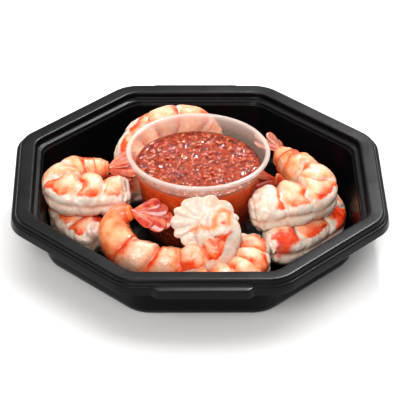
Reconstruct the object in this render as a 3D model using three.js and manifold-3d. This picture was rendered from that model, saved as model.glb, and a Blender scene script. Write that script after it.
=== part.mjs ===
// A chilled shrimp cocktail: an octagonal tray with a stepped, lipped rim, a portion cup
// of sauce standing in its middle, and seven peeled, tail-on shrimp curled round the cup.
// Millimetres, +Z up. The origin is the centre of the tray's flat underside.

import * as THREE from 'three';
import { mergeVertices } from 'three/addons/utils/BufferGeometryUtils.js';
import Module from 'manifold-3d';

const wasm = await Module();
wasm.setup();

// ---------- driving dimensions ----------

const TRAY_HALF_WIDTH = 96;       // centre to the middle of a side, at the lower lip
const TRAY_HEIGHT = 32.8;
const SHEET = 0.8;                // thickness of the tray's formed sheet
const TAB_REACH = 3.2;            // how far the two pull tabs stand out of the lower lip
const TAB_HALF = 21.3;            // half the length of a tab's straight edge
const TAB_EAR = 4.2;              // length of the eased end of a tab

const CUP_X = -0.7;               // the cup stands a little off the tray's centre
const CUP_RADIUS = 37;            // outside of the cup's lip
const CUP_HEIGHT = 47.7;
const CUP_WALL = 0.8;
const SAUCE_DEPTH = 36.2;

const GAP = 0.35;                 // clearance between pieces that touch
const FAN_LENGTH = 17;            // tail blade, root to tip
const FAN_WIDTH = 6.2;
const FAN_THICKNESS = 1.1;
const HEADROOM = 70;              // a height above everything

const FLOOR_Z = SHEET + 0.1;
const CUP_Z = FLOOR_Z + GAP;

// ---------- shared shape tools ----------

/** A closed triangle mesh from stacked rings of equal length, capped at both ends. */
function loft(rings, bottom, top) {
  const n = rings[0].length;
  const points = rings.flat().concat([bottom, top]);
  const faces = [];
  for (let i = 0; i + 1 < rings.length; i++) {
    for (let j = 0; j < n; j++) {
      const a = i * n + j;
      const b = i * n + ((j + 1) % n);
      faces.push(a, b, b + n, a, b + n, a + n);
    }
  }
  const last = (rings.length - 1) * n;
  for (let j = 0; j < n; j++) {
    faces.push(rings.length * n, (j + 1) % n, j);
    faces.push(rings.length * n + 1, last + j, last + ((j + 1) % n));
  }
  return new THREE.BufferGeometry().setFromPoints(points).setIndex(faces);
}

/** A manifold solid of a closed three.js geometry. */
function solid(geometry) {
  const bare = geometry.clone();
  bare.deleteAttribute('normal');
  bare.deleteAttribute('uv');
  const merged = mergeVertices(bare, 1e-4);
  const mesh = new wasm.Mesh({
    numProp: 3,
    vertProperties: new Float32Array(merged.attributes.position.array),
    triVerts: new Uint32Array(merged.index.array),
  });
  return new wasm.Manifold(mesh);
}

/** The three.js geometry of a manifold solid. */
function geometryOf(body) {
  const mesh = body.getMesh();
  const geometry = new THREE.BufferGeometry();
  geometry.setAttribute('position', new THREE.BufferAttribute(mesh.vertProperties, 3));
  geometry.setIndex(new THREE.BufferAttribute(mesh.triVerts, 1));
  geometry.computeVertexNormals();
  return geometry;
}

/** A named mesh with a matt or shiny finish. */
function piece(name, geometry, color, roughness) {
  const material = new THREE.MeshStandardMaterial({ color, roughness, metalness: 0 });
  const mesh = new THREE.Mesh(geometry, material);
  mesh.name = name;
  return mesh;
}

// ---------- tray ----------

const CORNER_STEPS = 3;

/** How far a tab pushes the lip out at x, from 0 beside the tab to 1 along it. */
function tabShare(x) {
  const t = (TAB_HALF + TAB_EAR - Math.abs(x)) / TAB_EAR;
  return THREE.MathUtils.smoothstep(t, 0, 1);
}

/** One octagonal ring: apothem, height, corner radius, and how much of a tab it carries. */
function octagon([apothem, z, radius, tab = 0]) {
  const ring = [];
  const straight = (apothem - radius) * Math.tan(Math.PI / 8);
  const tabStops = [-TAB_HALF - TAB_EAR, -TAB_HALF - TAB_EAR / 2, -TAB_HALF];
  tabStops.push(...tabStops.map((x) => -x).reverse());
  const across = apothem / Math.cos(Math.PI / 8);
  const inset = radius / Math.cos(Math.PI / 8);
  for (let side = 0; side < 8; side++) {
    const turn = (side * Math.PI) / 4 - Math.PI / 2;
    const place = (along, out) => new THREE.Vector3(
      out * Math.cos(turn) - along * Math.sin(turn),
      out * Math.sin(turn) + along * Math.cos(turn),
      z,
    );
    if (side % 4 === 0) {
      for (const x of tabStops) {
        const reach = TAB_REACH * tab * tabShare(x);
        const share = x / (TAB_HALF + TAB_EAR);
        const along = straight < TAB_HALF + TAB_EAR + 1 ? share * (straight - 1) : x;
        ring.push(place(along, apothem + reach));
      }
    }
    const corner = turn + Math.PI / 8;
    const centre = across - inset;
    for (let k = 0; k <= CORNER_STEPS; k++) {
      const angle = turn + (k / CORNER_STEPS) * (Math.PI / 4);
      ring.push(new THREE.Vector3(
        centre * Math.cos(corner) + radius * Math.cos(angle),
        centre * Math.sin(corner) + radius * Math.sin(angle),
        z,
      ));
    }
  }
  return ring;
}

function tray() {
  const lip = TRAY_HALF_WIDTH;
  const top = TRAY_HEIGHT;
  // From the middle of the underside outwards, over the rim, and back to the middle inside.
  const profile = [
    [lip - 22.5, 0, 14],
    [lip - 19.6, 0.9, 16.5],
    [lip - 18.1, 3.6, 17.5],
    [lip - 14.0, 26.4, 13],
    [lip - 13.5, 28.2, 12],
    [lip - 10.3, 28.4, 11.5],
    [lip - 9.9, top - 1.1, 12],
    [lip - 3.8, top - 0.9, 17],
    [lip - 3.4, top - 3.8, 17.3],
    [lip - 1.7, top - 3.9, 18.2, 1],
    [lip - 0.9, 25.4, 18.6, 1],
    [lip, 25.4, 19, 1],
    [lip - 0.6, top - 3.3, 19, 1],
    [lip - 1.0, top - 2.9, 18.8, 1],
    [lip - 2.4, top - 2.8, 18],
    [lip - 2.7, top - 0.5, 18],
    [lip - 3.4, top, 17.6],
    [lip - 10.1, top - 0.3, 11.5],
    [lip - 10.7, top - 0.8, 11],
    [lip - 11.1, top - 3.6, 10.7],
    [lip - 13.7, top - 3.8, 10.4],
    [lip - 14.1, 27.5, 12],
    [lip - 14.8, 27.2, 12],
    [lip - 18.9, 4.5, 16.5],
    [lip - 20.2, 1.8, 16],
    [lip - 23.0, FLOOR_Z, 13.5],
  ];
  return loft(
    profile.map(octagon),
    new THREE.Vector3(0, 0, 0),
    new THREE.Vector3(0, 0, FLOOR_Z),
  );
}

// ---------- cup and sauce ----------

const ROUND = 36;
const LEDGE_Z = CUP_Z + 39;       // where the wall steps out below the lip

function lathe(outline) {
  const points = outline.map(([r, z]) => new THREE.Vector2(r, z));
  const geometry = new THREE.LatheGeometry(points, ROUND);
  geometry.rotateX(Math.PI / 2);
  return geometry;
}

function cup() {
  const rim = CUP_Z + CUP_HEIGHT;
  const r = CUP_RADIUS;
  const outside = [
    [0, CUP_Z + 1.1],
    [r - 13.4, CUP_Z + 1.1],
    [r - 12.4, CUP_Z],
    [r - 10.4, CUP_Z],
    [r - 9.4, CUP_Z + 1.2],
    [r - 4.4, LEDGE_Z - 1],
    [r - 3.1, LEDGE_Z],
    [r - 1.7, rim - 2.3],
    [r - 0.4, rim - 2.1],
    [r, rim - 1.5],
    [r, rim - 0.6],
    [r - 0.6, rim],
  ];
  const inside = [
    [r - 2.0, rim],
    [r - 2.6, rim - 0.6],
    [r - 3.1 - CUP_WALL + 0.1, LEDGE_Z + 0.5],
    [r - 4.4 - CUP_WALL, LEDGE_Z - 0.5],
    [r - 9.4 - CUP_WALL - 0.4, CUP_Z + 2.9],
    [r - 11.6, CUP_Z + 1.9],
    [0, CUP_Z + 1.9],
  ];
  return lathe([...outside, ...inside]);
}

/** Sauce up to just under the cup's ledge, with a low lumpy surface. */
function sauce() {
  const floor = CUP_Z + 1.9 + GAP;
  const level = floor + SAUCE_DEPTH;
  const wall = (z) => {
    const share = (z - CUP_Z - 2.9) / (LEDGE_Z - 0.5 - CUP_Z - 2.9);
    return THREE.MathUtils.lerp(CUP_RADIUS - 10.6, CUP_RADIUS - 5.2, share) - GAP;
  };
  const ring = (radius, height) => {
    const points = [];
    for (let j = 0; j < ROUND; j++) {
      const a = (j / ROUND) * 2 * Math.PI;
      points.push(new THREE.Vector3(radius * Math.cos(a), radius * Math.sin(a), height(a)));
    }
    return points;
  };
  const lumps = (radius) => (a) => level
    + 0.35 * Math.sin(3 * a + radius * 0.4)
    + 0.25 * Math.sin(7 * a - radius * 0.9);
  const rings = [
    ring(wall(floor + 1) - 1.2, () => floor),
    ring(wall(floor + 1), () => floor + 1),
    ring(wall(level - 1), () => level - 1),
    ring(wall(level), () => level),
    ring(24, lumps(24)),
    ring(16, lumps(16)),
    ring(8, lumps(8)),
  ];
  return loft(rings, new THREE.Vector3(0, 0, floor), new THREE.Vector3(0, 0, level));
}

// ---------- shrimp ----------

// Each shrimp's middle line runs from the cut end, where the head was, to the root of its
// tail fan: x, y, z and the flesh's radius there. Its fan points along `aim`, and the flat
// of its blades faces `face`.
const SHRIMP = {
  shrimp_front: {
    line: [
      [1, -41, 31.5, 8.5], [10, -43, 27.5, 9.5], [8, -47.5, 19, 9.4], [-5, -50, 12, 9],
      [-23, -47.5, 10.8, 9], [-38, -41.5, 15, 9], [-43, -32.5, 20.5, 8], [-40, -28.5, 27, 5.8],
      [-34.5, -29, 29.5, 3.6],
    ],
    aim: [1, -0.1, -0.08],
    face: [0, -0.6, 0.8],
    ruff: { centre: [2, -41.3, 31.5], face: [0, -0.86, 0.5], wide: 16.5, tall: 13.4, thick: 4 },
  },
  shrimp_left_top: {
    line: [
      [-37.5, -11, 27, 8], [-53, -12.5, 28, 9], [-67, -11.5, 28, 9.5], [-71.5, 0, 28, 9],
      [-64, 10.5, 28, 8], [-53, 13.5, 28.5, 5.8], [-47, 13.5, 29, 3.6],
    ],
    aim: [1, 0.05, 0.08],
    face: [0.05, -0.38, 0.92],
  },
  shrimp_left_low: {
    line: [
      [-54, -27, 11, 8], [-61, -19, 10.6, 8.8], [-67.5, -7, 10.6, 8.8], [-69, 6, 10.6, 8.8],
      [-63.5, 17.5, 10.3, 8], [-54, 22.5, 10, 5.8], [-48, 22.5, 10, 3.6],
    ],
    aim: [0.574, 0.819, -0.087],
    face: [0, 0.3, 0.95],
  },
  shrimp_right_top: {
    line: [
      [27.2, -23.4, 25.5, 9], [38.4, -22, 27, 9.5], [50.7, -19.6, 28, 9.5], [59.4, -15.5, 29, 9.3],
      [61.3, -6.5, 29.8, 9], [54.8, 6, 30.3, 8.5], [48.8, 14, 30.8, 7.8], [45, 20.5, 31.3, 5.8],
      [43.2, 25.5, 31.8, 3.6],
    ],
    aim: [-0.62, 0.77, 0.12],
    face: [0.3, 0.1, 0.95],
  },
  shrimp_right_low: {
    line: [
      [34, -34, 13, 8.5], [43, -32, 12, 9.3], [56.5, -20.5, 11.2, 9.5], [67, -5, 11, 9.2],
      [60.5, 16, 10.5, 8], [47, 26, 12, 5.8], [41, 27.5, 13, 3.6],
    ],
    aim: [-1, -0.35, 0.2],
    face: [0.2, -0.3, 0.93],
  },
  shrimp_front_right: {
    line: [
      [22, -34.5, 14, 8.5], [25.5, -43.5, 12, 9], [23.5, -56, 10.8, 9], [13, -65, 10, 8.5],
      [-1, -69, 9, 7.4], [-11, -69, 7.6, 5.4], [-17, -68.5, 7, 3.4],
    ],
    aim: [-1, 0.08, -0.04],
    face: [0, 0.25, 0.97],
  },
  shrimp_back: {
    line: [
      [-32.5, 18.5, 7, 8], [-35.5, 26.5, 20, 8], [-33.5, 36, 28.5, 8.2], [-24, 45, 34, 8.2],
      [-11, 50, 35.5, 8.2], [1, 52, 32.5, 7.6], [7.5, 51, 26.5, 5.8], [10.5, 50, 21, 3.6],
    ],
    aim: [0.35, -0.05, -0.93],
    face: [0.1, -0.98, 0.1],
  },
};

const STATIONS = 22;
const SECTION = 12;
const SEGMENTS = 5;
const FAN_ANGLES = [-40, -21, 0, 21, 40];
const FLESH_SHARE = 0.8;          // how much of the body is bare, segmented flesh
const OVAL_TALL = 1.04;           // the section is a little taller than wide
const OVAL_WIDE = 0.96;
const SLIT_DEPTH = 0.16;          // depth of the cut down the back, as a share of the radius
const RUFF_STEPS = 32;
const RUFF_SCALLOPS = 8;

/** A smooth middle line through the given points, with its radius. */
function middleLine(points) {
  const path = new THREE.CatmullRomCurve3(points.map(([x, y, z]) => new THREE.Vector3(x, y, z)));
  const radii = points.map((p) => new THREE.Vector3(p[3], 0, 0));
  const girth = new THREE.CatmullRomCurve3(radii, false, 'catmullrom', 0.5);
  return {
    at: (t) => path.getPoint(t),
    tangent: (t) => path.getTangent(t),
    radius: (t) => girth.getPoint(t).x,
  };
}

/** The flesh's girth at t: the cut end is blunt and flared, and each segment swells. */
function swell(t) {
  if (t > FLESH_SHARE) return 1;
  const bulge = Math.abs(Math.sin((t / FLESH_SHARE) * SEGMENTS * Math.PI));
  const cutEnd = t === 0 ? 0.8 : 1;
  return cutEnd * (0.95 + 0.09 * Math.sqrt(bulge));
}

/** The body from cut end to tail root: an oval swept along its curl, slit down its back. */
function shrimpBody(line, grow) {
  const middle = middleLine(line);
  const curl = new THREE.Vector3();
  line.forEach(([x, y, z]) => curl.add(new THREE.Vector3(x, y, z).divideScalar(line.length)));
  const rings = [];
  for (let i = 0; i < STATIONS; i++) {
    const t = i / (STATIONS - 1);
    const at = middle.at(t);
    const along = middle.tangent(t);
    const back = at.clone().sub(curl);
    back.addScaledVector(along, -back.dot(along)).normalize();
    const side = new THREE.Vector3().crossVectors(along, back);
    const radius = middle.radius(t) * swell(t) + grow;
    const slit = SLIT_DEPTH * (1 - THREE.MathUtils.smoothstep(t, 0.45, 0.75));
    const ring = [];
    for (let j = 0; j < SECTION; j++) {
      const a = (j / SECTION) * 2 * Math.PI;
      const reach = j === 0 ? 1 - slit : 1;
      ring.push(at.clone()
        .addScaledVector(back, radius * OVAL_TALL * reach * Math.cos(a))
        .addScaledVector(side, radius * OVAL_WIDE * Math.sin(a)));
    }
    rings.push(ring);
  }
  return solid(loft(rings, middle.at(0), middle.at(1)));
}

/** One blade of the tail fan: a leaf with a blunt tip, flat in its own X and Y. */
function blade(grow) {
  const half = FAN_WIDTH / 2;
  const leaf = new THREE.Shape();
  leaf.moveTo(-2.5, -1.2);
  leaf.quadraticCurveTo(FAN_LENGTH * 0.5, -half * 1.5, FAN_LENGTH, -half * 0.25);
  leaf.lineTo(FAN_LENGTH, half * 0.25);
  leaf.quadraticCurveTo(FAN_LENGTH * 0.5, half * 1.5, -2.5, 1.2);
  leaf.closePath();
  const depth = FAN_THICKNESS + 2 * grow;
  const flat = new THREE.ExtrudeGeometry(leaf, { depth, bevelEnabled: false, curveSegments: 3 });
  return flat.translate(0, 0, -depth / 2);
}

/** The fan's five blades, spread about the tail root and slightly stepped to lie over each other. */
function tailFan({ line, aim, face }, grow) {
  const root = new THREE.Vector3(...line[line.length - 1]);
  const forward = new THREE.Vector3(...aim).normalize();
  const up = new THREE.Vector3(...face);
  up.addScaledVector(forward, -up.dot(forward)).normalize();
  const across = new THREE.Vector3().crossVectors(up, forward);
  const frame = new THREE.Matrix4().makeBasis(forward, across, up).setPosition(root);
  const blades = FAN_ANGLES.map((degrees, k) => {
    const lift = 0.5 * FAN_THICKNESS * (2 - Math.abs(k - 2));
    const shape = blade(grow);
    shape.rotateZ(THREE.MathUtils.degToRad(degrees)).translate(0, 0, lift);
    return solid(shape.applyMatrix4(frame));
  });
  return blades.reduce((all, one) => all.add(one));
}

/** Where the cut end flares into a frill: a scalloped disc, thick in the middle. */
function ruffSolid({ centre, face, wide, tall, thick }, grow) {
  const up = new THREE.Vector3(0, 0, 1);
  const out = new THREE.Vector3(...face).normalize();
  up.addScaledVector(out, -up.dot(out)).normalize();
  const across = new THREE.Vector3().crossVectors(up, out);
  const frame = new THREE.Matrix4().makeBasis(across, up, out);
  frame.setPosition(new THREE.Vector3(...centre));
  const ring = (share, height) => {
    const points = [];
    for (let j = 0; j < RUFF_STEPS; j++) {
      const a = (j / RUFF_STEPS) * 2 * Math.PI;
      const scallop = 1 + 0.05 * share * (Math.abs(Math.sin((RUFF_SCALLOPS / 2) * a)) - 0.5);
      points.push(new THREE.Vector3(
        (wide * share * scallop + grow) * Math.cos(a),
        (tall * share * scallop + grow) * Math.sin(a),
        height,
      ));
    }
    return points;
  };
  const half = thick / 2 + grow;
  const rings = [ring(0.55, -half), ring(1, -half * 0.5), ring(1, half * 0.3), ring(0.55, half)];
  const disc = loft(rings, new THREE.Vector3(0, 0, -half), new THREE.Vector3(0, 0, half * 1.2));
  return solid(disc.applyMatrix4(frame));
}

/** A whole shrimp. `grow` makes it fatter all round, as the room that a neighbour leaves it. */
function shrimp(spec, grow = 0) {
  const whole = shrimpBody(spec.line, grow).add(tailFan(spec, grow));
  return spec.ruff ? whole.add(ruffSolid(spec.ruff, grow)) : whole;
}

/** The largest body of a cut solid, because a cut may leave loose slivers. */
function largest(body) {
  return body.decompose().reduce((best, one) => (one.volume() > best.volume() ? one : best));
}

// ---------- assembly ----------

const model = new THREE.Group();
const trayMesh = piece('tray', tray(), 0x161616, 0.35);
const cupMesh = piece('sauce_cup', cup(), 0xe6dcd8, 0.2);
const sauceMesh = piece('cocktail_sauce', sauce(), 0xa8301a, 0.3);
cupMesh.position.x = CUP_X;
sauceMesh.position.x = CUP_X;
model.add(trayMesh, cupMesh, sauceMesh);

// A shrimp gives way to the tray, the cup and every shrimp placed before it, those on top first.
const room = [];
const wallRoom = solid(loft([
  octagon([TRAY_HALF_WIDTH - 23, FLOOR_Z + GAP, 13]),
  octagon([TRAY_HALF_WIDTH - 20.7, 2.2, 15.5]),
  octagon([TRAY_HALF_WIDTH - 19.4, 4.6, 16]),
  octagon([TRAY_HALF_WIDTH - 15.2, 27.2, 11.5]),
  octagon([TRAY_HALF_WIDTH - 15.2, HEADROOM, 11.5]),
], new THREE.Vector3(0, 0, FLOOR_Z + GAP), new THREE.Vector3(0, 0, HEADROOM)));
const cupRoom = solid(lathe([
  [0, 0], [CUP_RADIUS - 9.4 + GAP, 0], [CUP_RADIUS - 4.3 + GAP, LEDGE_Z - 1],
  [CUP_RADIUS - 2.9 + GAP, LEDGE_Z], [CUP_RADIUS + GAP, CUP_Z + CUP_HEIGHT - 3],
  [CUP_RADIUS + GAP, HEADROOM], [0, HEADROOM],
]).translate(CUP_X, 0, 0));

for (const [name, spec] of Object.entries(SHRIMP)) {
  let body = shrimp(spec).intersect(wallRoom).subtract(cupRoom);
  for (const other of room) body = body.subtract(other);
  room.push(shrimp(spec, GAP));
  model.add(piece(name, geometryOf(largest(body)), 0xf0a27c, 0.4));
}

export default model;
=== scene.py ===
"""A chilled shrimp cocktail: a black octagonal tray, a milky cup of chunky red sauce, and
seven peeled, tail-on shrimp curled round the cup.

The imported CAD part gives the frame. Each sub-assembly below is a class that builds its own
meshes in metres, in the part's frame, and dresses them. Lengths in the classes are in
millimetres, and `MM` turns them into metres.
"""

from __future__ import annotations

import logging
import math
from dataclasses import dataclass, field
from enum import Enum

import bpy
import numpy as np
from mathutils import Matrix, Vector
from mathutils.bvhtree import BVHTree
from mathutils.kdtree import KDTree

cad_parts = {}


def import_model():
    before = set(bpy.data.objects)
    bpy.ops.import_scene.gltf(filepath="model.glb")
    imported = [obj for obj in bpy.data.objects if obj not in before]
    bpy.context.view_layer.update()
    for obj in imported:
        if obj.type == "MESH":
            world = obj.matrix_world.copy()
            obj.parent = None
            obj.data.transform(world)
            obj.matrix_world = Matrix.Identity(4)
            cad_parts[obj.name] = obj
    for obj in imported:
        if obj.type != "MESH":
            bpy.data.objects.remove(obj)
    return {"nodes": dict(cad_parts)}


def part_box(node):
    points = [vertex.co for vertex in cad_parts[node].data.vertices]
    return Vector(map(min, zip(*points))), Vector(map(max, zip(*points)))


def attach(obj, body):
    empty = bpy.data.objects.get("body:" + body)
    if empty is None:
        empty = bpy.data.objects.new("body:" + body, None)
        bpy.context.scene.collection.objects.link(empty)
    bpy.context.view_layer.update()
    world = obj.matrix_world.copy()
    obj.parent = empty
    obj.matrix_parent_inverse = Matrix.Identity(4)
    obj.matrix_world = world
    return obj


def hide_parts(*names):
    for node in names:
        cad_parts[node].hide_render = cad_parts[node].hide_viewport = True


LOG = logging.getLogger("shrimp_cocktail")
MM = 0.001
TAU = 2 * math.pi
EIGHTH = math.pi / 4  # the turn from one side of the tray to the next
OCTAVE_SHARE = 0.55  # strength of each finer grain of noise against the last

Array = np.ndarray
Colour = tuple[float, float, float]


# ---------------------------------------------------------------- numbers and noise


def smoothstep(low: float, high: float, x: Array) -> Array:
    """An S-shaped ramp from 0 at low to 1 at high."""
    s = np.clip((x - low) / (high - low), 0.0, 1.0)
    return s * s * (3 - 2 * s)


def bell(x: Array, middle: float, width: float) -> Array:
    """A smooth hump, 1 at the middle and near 0 at twice its width from it."""
    return np.exp(-(((x - middle) / width) ** 2))


def blend(a: Array, b: Array | Colour, share: Array) -> Array:
    """Colours a with b mixed in by share, row by row."""
    return a + (np.asarray(b, dtype=float) - a) * share[..., None]


def filled(colour: Colour, count: int) -> Array:
    """One colour, once for each of count places."""
    return np.tile(colour, (count, 1))


def lattice(cell: Array, seed: int) -> Array:
    """A repeatable random number from 0 to 1 for each whole-number cell.

    Args:
        cell: Whole numbers, the last axis being x, y and z.
        seed: Which of many random fields to read.

    Returns:
        One number for each cell.
    """
    mixed = cell[..., 0] * 73856093 ^ cell[..., 1] * 19349663 ^ cell[..., 2] * 83492791
    mixed = (mixed ^ (seed * 2654435761)) & 0x7FFFFFFF
    mixed = (mixed ^ (mixed >> 13)) * 1274126177 & 0x7FFFFFFF
    mixed = (mixed ^ (mixed >> 16)) * 2246822519 & 0x7FFFFFFF
    return (mixed ^ (mixed >> 15)) / float(0x7FFFFFFF)


def noise(points: Array, size: float, seed: int) -> Array:
    """Smooth noise from -1 to 1 at the points.

    Args:
        points: Places, with x, y and z on the last axis.
        size: The noise's grain, in the points' own unit.
        seed: Which noise.

    Returns:
        One number for each point.
    """
    scaled = points / size + seed * 13.37
    cell = np.floor(scaled).astype(np.int64)
    part = scaled - cell
    part = part * part * (3 - 2 * part)
    total = np.zeros(points.shape[:-1])
    for corner in np.ndindex(2, 2, 2):
        offset = np.array(corner)
        weight = np.prod(np.where(offset == 1, part, 1 - part), axis=-1)
        total += weight * lattice(cell + offset, seed)
    return total * 2 - 1


def fractal(points: Array, size: float, seed: int, octaves: int = 3) -> Array:
    """Noise of several grains, each half the size and a little over half the strength of the last.

    Args:
        points: Places, with x, y and z on the last axis.
        size: The coarsest grain.
        seed: Which noise.
        octaves: How many grains.

    Returns:
        One number for each point, from -1 to 1.
    """
    total, strength, whole = np.zeros(points.shape[:-1]), 1.0, 0.0
    for k in range(octaves):
        total += strength * noise(points, size / 2**k, seed + 7 * k)
        whole += strength
        strength *= OCTAVE_SHARE
    return total / whole


# ---------------------------------------------------------------- meshes


def loft(rings: Array, first_pole: Array, last_pole: Array) -> tuple[Array, list[tuple[int, ...]]]:
    """A closed skin over stacked rings, with a fan of triangles at each end.

    Args:
        rings: Ring by ring, point by point, x, y and z. Rings run anticlockwise about the
            direction in which they are stacked.
        first_pole: The middle of the first end.
        last_pole: The middle of the last end.

    Returns:
        The points and the faces.
    """
    count, around = rings.shape[:2]
    points = np.concatenate([rings.reshape(-1, 3), [first_pole, last_pole]])
    row = np.arange(count - 1)[:, None] * around
    a = row + np.arange(around)
    b = row + (np.arange(around) + 1) % around
    quads = np.stack([a, b, b + around, a + around], axis=-1).reshape(-1, 4)
    faces = [tuple(q) for q in quads.tolist()]
    last = (count - 1) * around
    for j in range(around):
        k = (j + 1) % around
        faces.append((count * around, k, j))
        faces.append((count * around + 1, last + j, last + k))
    return points, faces


def link(name: str, data: bpy.types.ID) -> bpy.types.Object:
    """A new object that carries the data, linked into the scene."""
    piece = bpy.data.objects.new(name, data)
    bpy.context.scene.collection.objects.link(piece)
    return piece


def make_object(name: str, points: Array, faces: list[tuple[int, ...]]) -> bpy.types.Object:
    """A smooth-shaded mesh object at the origin.

    Args:
        name: The piece's name.
        points: Places in millimetres.
        faces: Corner numbers of each face.

    Returns:
        The new object, linked into the scene.
    """
    mesh = bpy.data.meshes.new(name)
    mesh.from_pydata((points * MM).tolist(), [], faces)
    mesh.shade_smooth()
    return link(name, mesh)


def set_colour(piece: bpy.types.Object, name: str, values: Array) -> None:
    """Stores one linear colour for each vertex.

    Args:
        piece: The piece to colour.
        name: The attribute's name.
        values: Red, green and blue for each vertex.
    """
    layer = piece.data.color_attributes.new(name, "FLOAT_COLOR", "POINT")
    rgba = np.ones((len(values), 4), dtype=np.float32)
    rgba[:, :3] = np.clip(values, 0, 1)
    layer.data.foreach_set("color", rgba.ravel())


def set_number(piece: bpy.types.Object, name: str, values: Array) -> None:
    """Stores one number for each vertex under that attribute name."""
    layer = piece.data.attributes.new(name, "FLOAT", "POINT")
    layer.data.foreach_set("value", np.asarray(values, dtype=np.float32).ravel())


def corners_of(piece: bpy.types.Object) -> Array:
    """The piece's vertices in millimetres."""
    flat = np.empty(len(piece.data.vertices) * 3, dtype=np.float32)
    piece.data.vertices.foreach_get("co", flat)
    return flat.reshape(-1, 3).astype(float) / MM


def move_corners(piece: bpy.types.Object, points: Array) -> None:
    """Puts the piece's vertices at these places, given in millimetres."""
    piece.data.vertices.foreach_set("co", (points * MM).astype(np.float32).ravel())
    piece.data.update()


def tube(places: Array, back: Array, side: Array, reach: Array, angle: Array) -> Array:
    """Rings round a middle line, each point at its own reach along the ring's two directions."""
    return (
        places
        + back[:, None] * (reach * np.cos(angle))[..., None]
        + side[:, None] * (reach * np.sin(angle))[..., None]
    )


def rounded(outline: Array, radius: float, steps: int) -> Array:
    """An outline with each inner corner replaced by a short smooth bend.

    Args:
        outline: One row for each corner. The first two columns are its place, and any
            others are carried along.
        radius: How far from a corner its bend starts.
        steps: Points in each bend.

    Returns:
        The finer outline.
    """
    fine = [outline[0]]
    for before, corner, after in zip(outline, outline[1:], outline[2:]):
        back = np.linalg.norm((before - corner)[:2])
        ahead = np.linalg.norm((after - corner)[:2])
        start = corner + (before - corner) * min(0.48, radius / back)
        end = corner + (after - corner) * min(0.48, radius / ahead)
        for share in np.linspace(0, 1, steps):
            inner = start + (corner - start) * share
            outer = corner + (end - corner) * share
            fine.append(inner + (outer - inner) * share)
    fine.append(outline[-1])
    return np.array(fine)


def turned_rings(profile: Array, around: int, middle_x: float = 0.0) -> Array:
    """The rings of a turned shape.

    Args:
        profile: Radius and height, row by row.
        around: Points in each ring.
        middle_x: Where the axis stands along X.

    Returns:
        Points ring by ring.
    """
    angle = np.arange(around) / around * TAU
    radius = profile[:, :1]
    height = np.repeat(profile[:, 1:2], around, axis=1)
    return np.stack([middle_x + radius * np.cos(angle), radius * np.sin(angle), height], axis=-1)


def revolve(profile: Array, around: int, middle_x: float) -> tuple[Array, list[tuple[int, ...]]]:
    """A closed turned shape from a profile that starts and ends near the axis.

    Args:
        profile: Radius and height, row by row, in millimetres.
        around: Points in each ring.
        middle_x: Where the axis stands along X.

    Returns:
        The points and the faces.
    """
    ends = [np.array([middle_x, 0.0, profile[k, 1]]) for k in (0, -1)]
    return loft(turned_rings(profile, around, middle_x), *ends)


# ---------------------------------------------------------------- node graphs


class Graph:
    """A node tree with short calls that add and join its nodes."""

    def __init__(self, tree: bpy.types.NodeTree) -> None:
        """Keeps the tree and empties it."""
        self.tree = tree
        tree.nodes.clear()

    def add(self, kind: str, inputs: dict | None = None, **settings: object) -> bpy.types.Node:
        """A new node.

        Args:
            kind: The node's type name.
            inputs: Values or sockets for its inputs, by name or number.
            **settings: Its own properties, such as operation.

        Returns:
            The node.
        """
        node = self.tree.nodes.new(kind)
        for key, value in settings.items():
            setattr(node, key, value)
        for key, value in (inputs or {}).items():
            self.feed(node.inputs[key], value)
        return node

    def feed(self, socket: bpy.types.NodeSocket, value: object) -> None:
        """Links a socket to an input, or sets the input's own value.

        Args:
            socket: The input.
            value: A socket to link, or a plain value.
        """
        if isinstance(value, bpy.types.NodeSocket):
            self.tree.links.new(value, socket)
        else:
            socket.default_value = value

    def math(self, operation: str, a: object, b: object = 0.0, clamp: bool = False) -> object:
        """The result socket of one arithmetic step.

        Args:
            operation: Which step, as the node names it.
            a: The first value or socket.
            b: The second one.
            clamp: Whether the result is held between 0 and 1.

        Returns:
            The result.
        """
        node = self.add("ShaderNodeMath", {0: a, 1: b}, operation=operation, use_clamp=clamp)
        return node.outputs[0]

    def times(self, a: object, b: object) -> object:
        """The product of two values or sockets."""
        return self.math("MULTIPLY", a, b)

    def read(self, name: str, output: str = "Fac") -> bpy.types.NodeSocket:
        """A number, or with output "Color" a colour, that the mesh carries under that name."""
        return self.add("ShaderNodeAttribute", attribute_name=name).outputs[output]

    def mix(self, share: object, a: object, b: object) -> object:
        """The result socket of a colour mix.

        Args:
            share: How much of the second colour, from 0 to 1.
            a: The first colour or socket.
            b: The second one.

        Returns:
            The mixed colour.
        """
        return self.add("ShaderNodeMix", {0: share, 6: a, 7: b}, data_type="RGBA").outputs[2]

    def ramp(self, value: object, low: float, high: float) -> object:
        """A smooth mask from 0 at low to 1 at high."""
        span = {0: value, 1: low, 2: high}
        return self.add("ShaderNodeMapRange", span, interpolation_type="SMOOTHSTEP").outputs[0]


def colour4(colour: Colour) -> tuple[float, float, float, float]:
    """The colour with full alpha, as node sockets want it."""
    return (*colour, 1.0)


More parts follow.
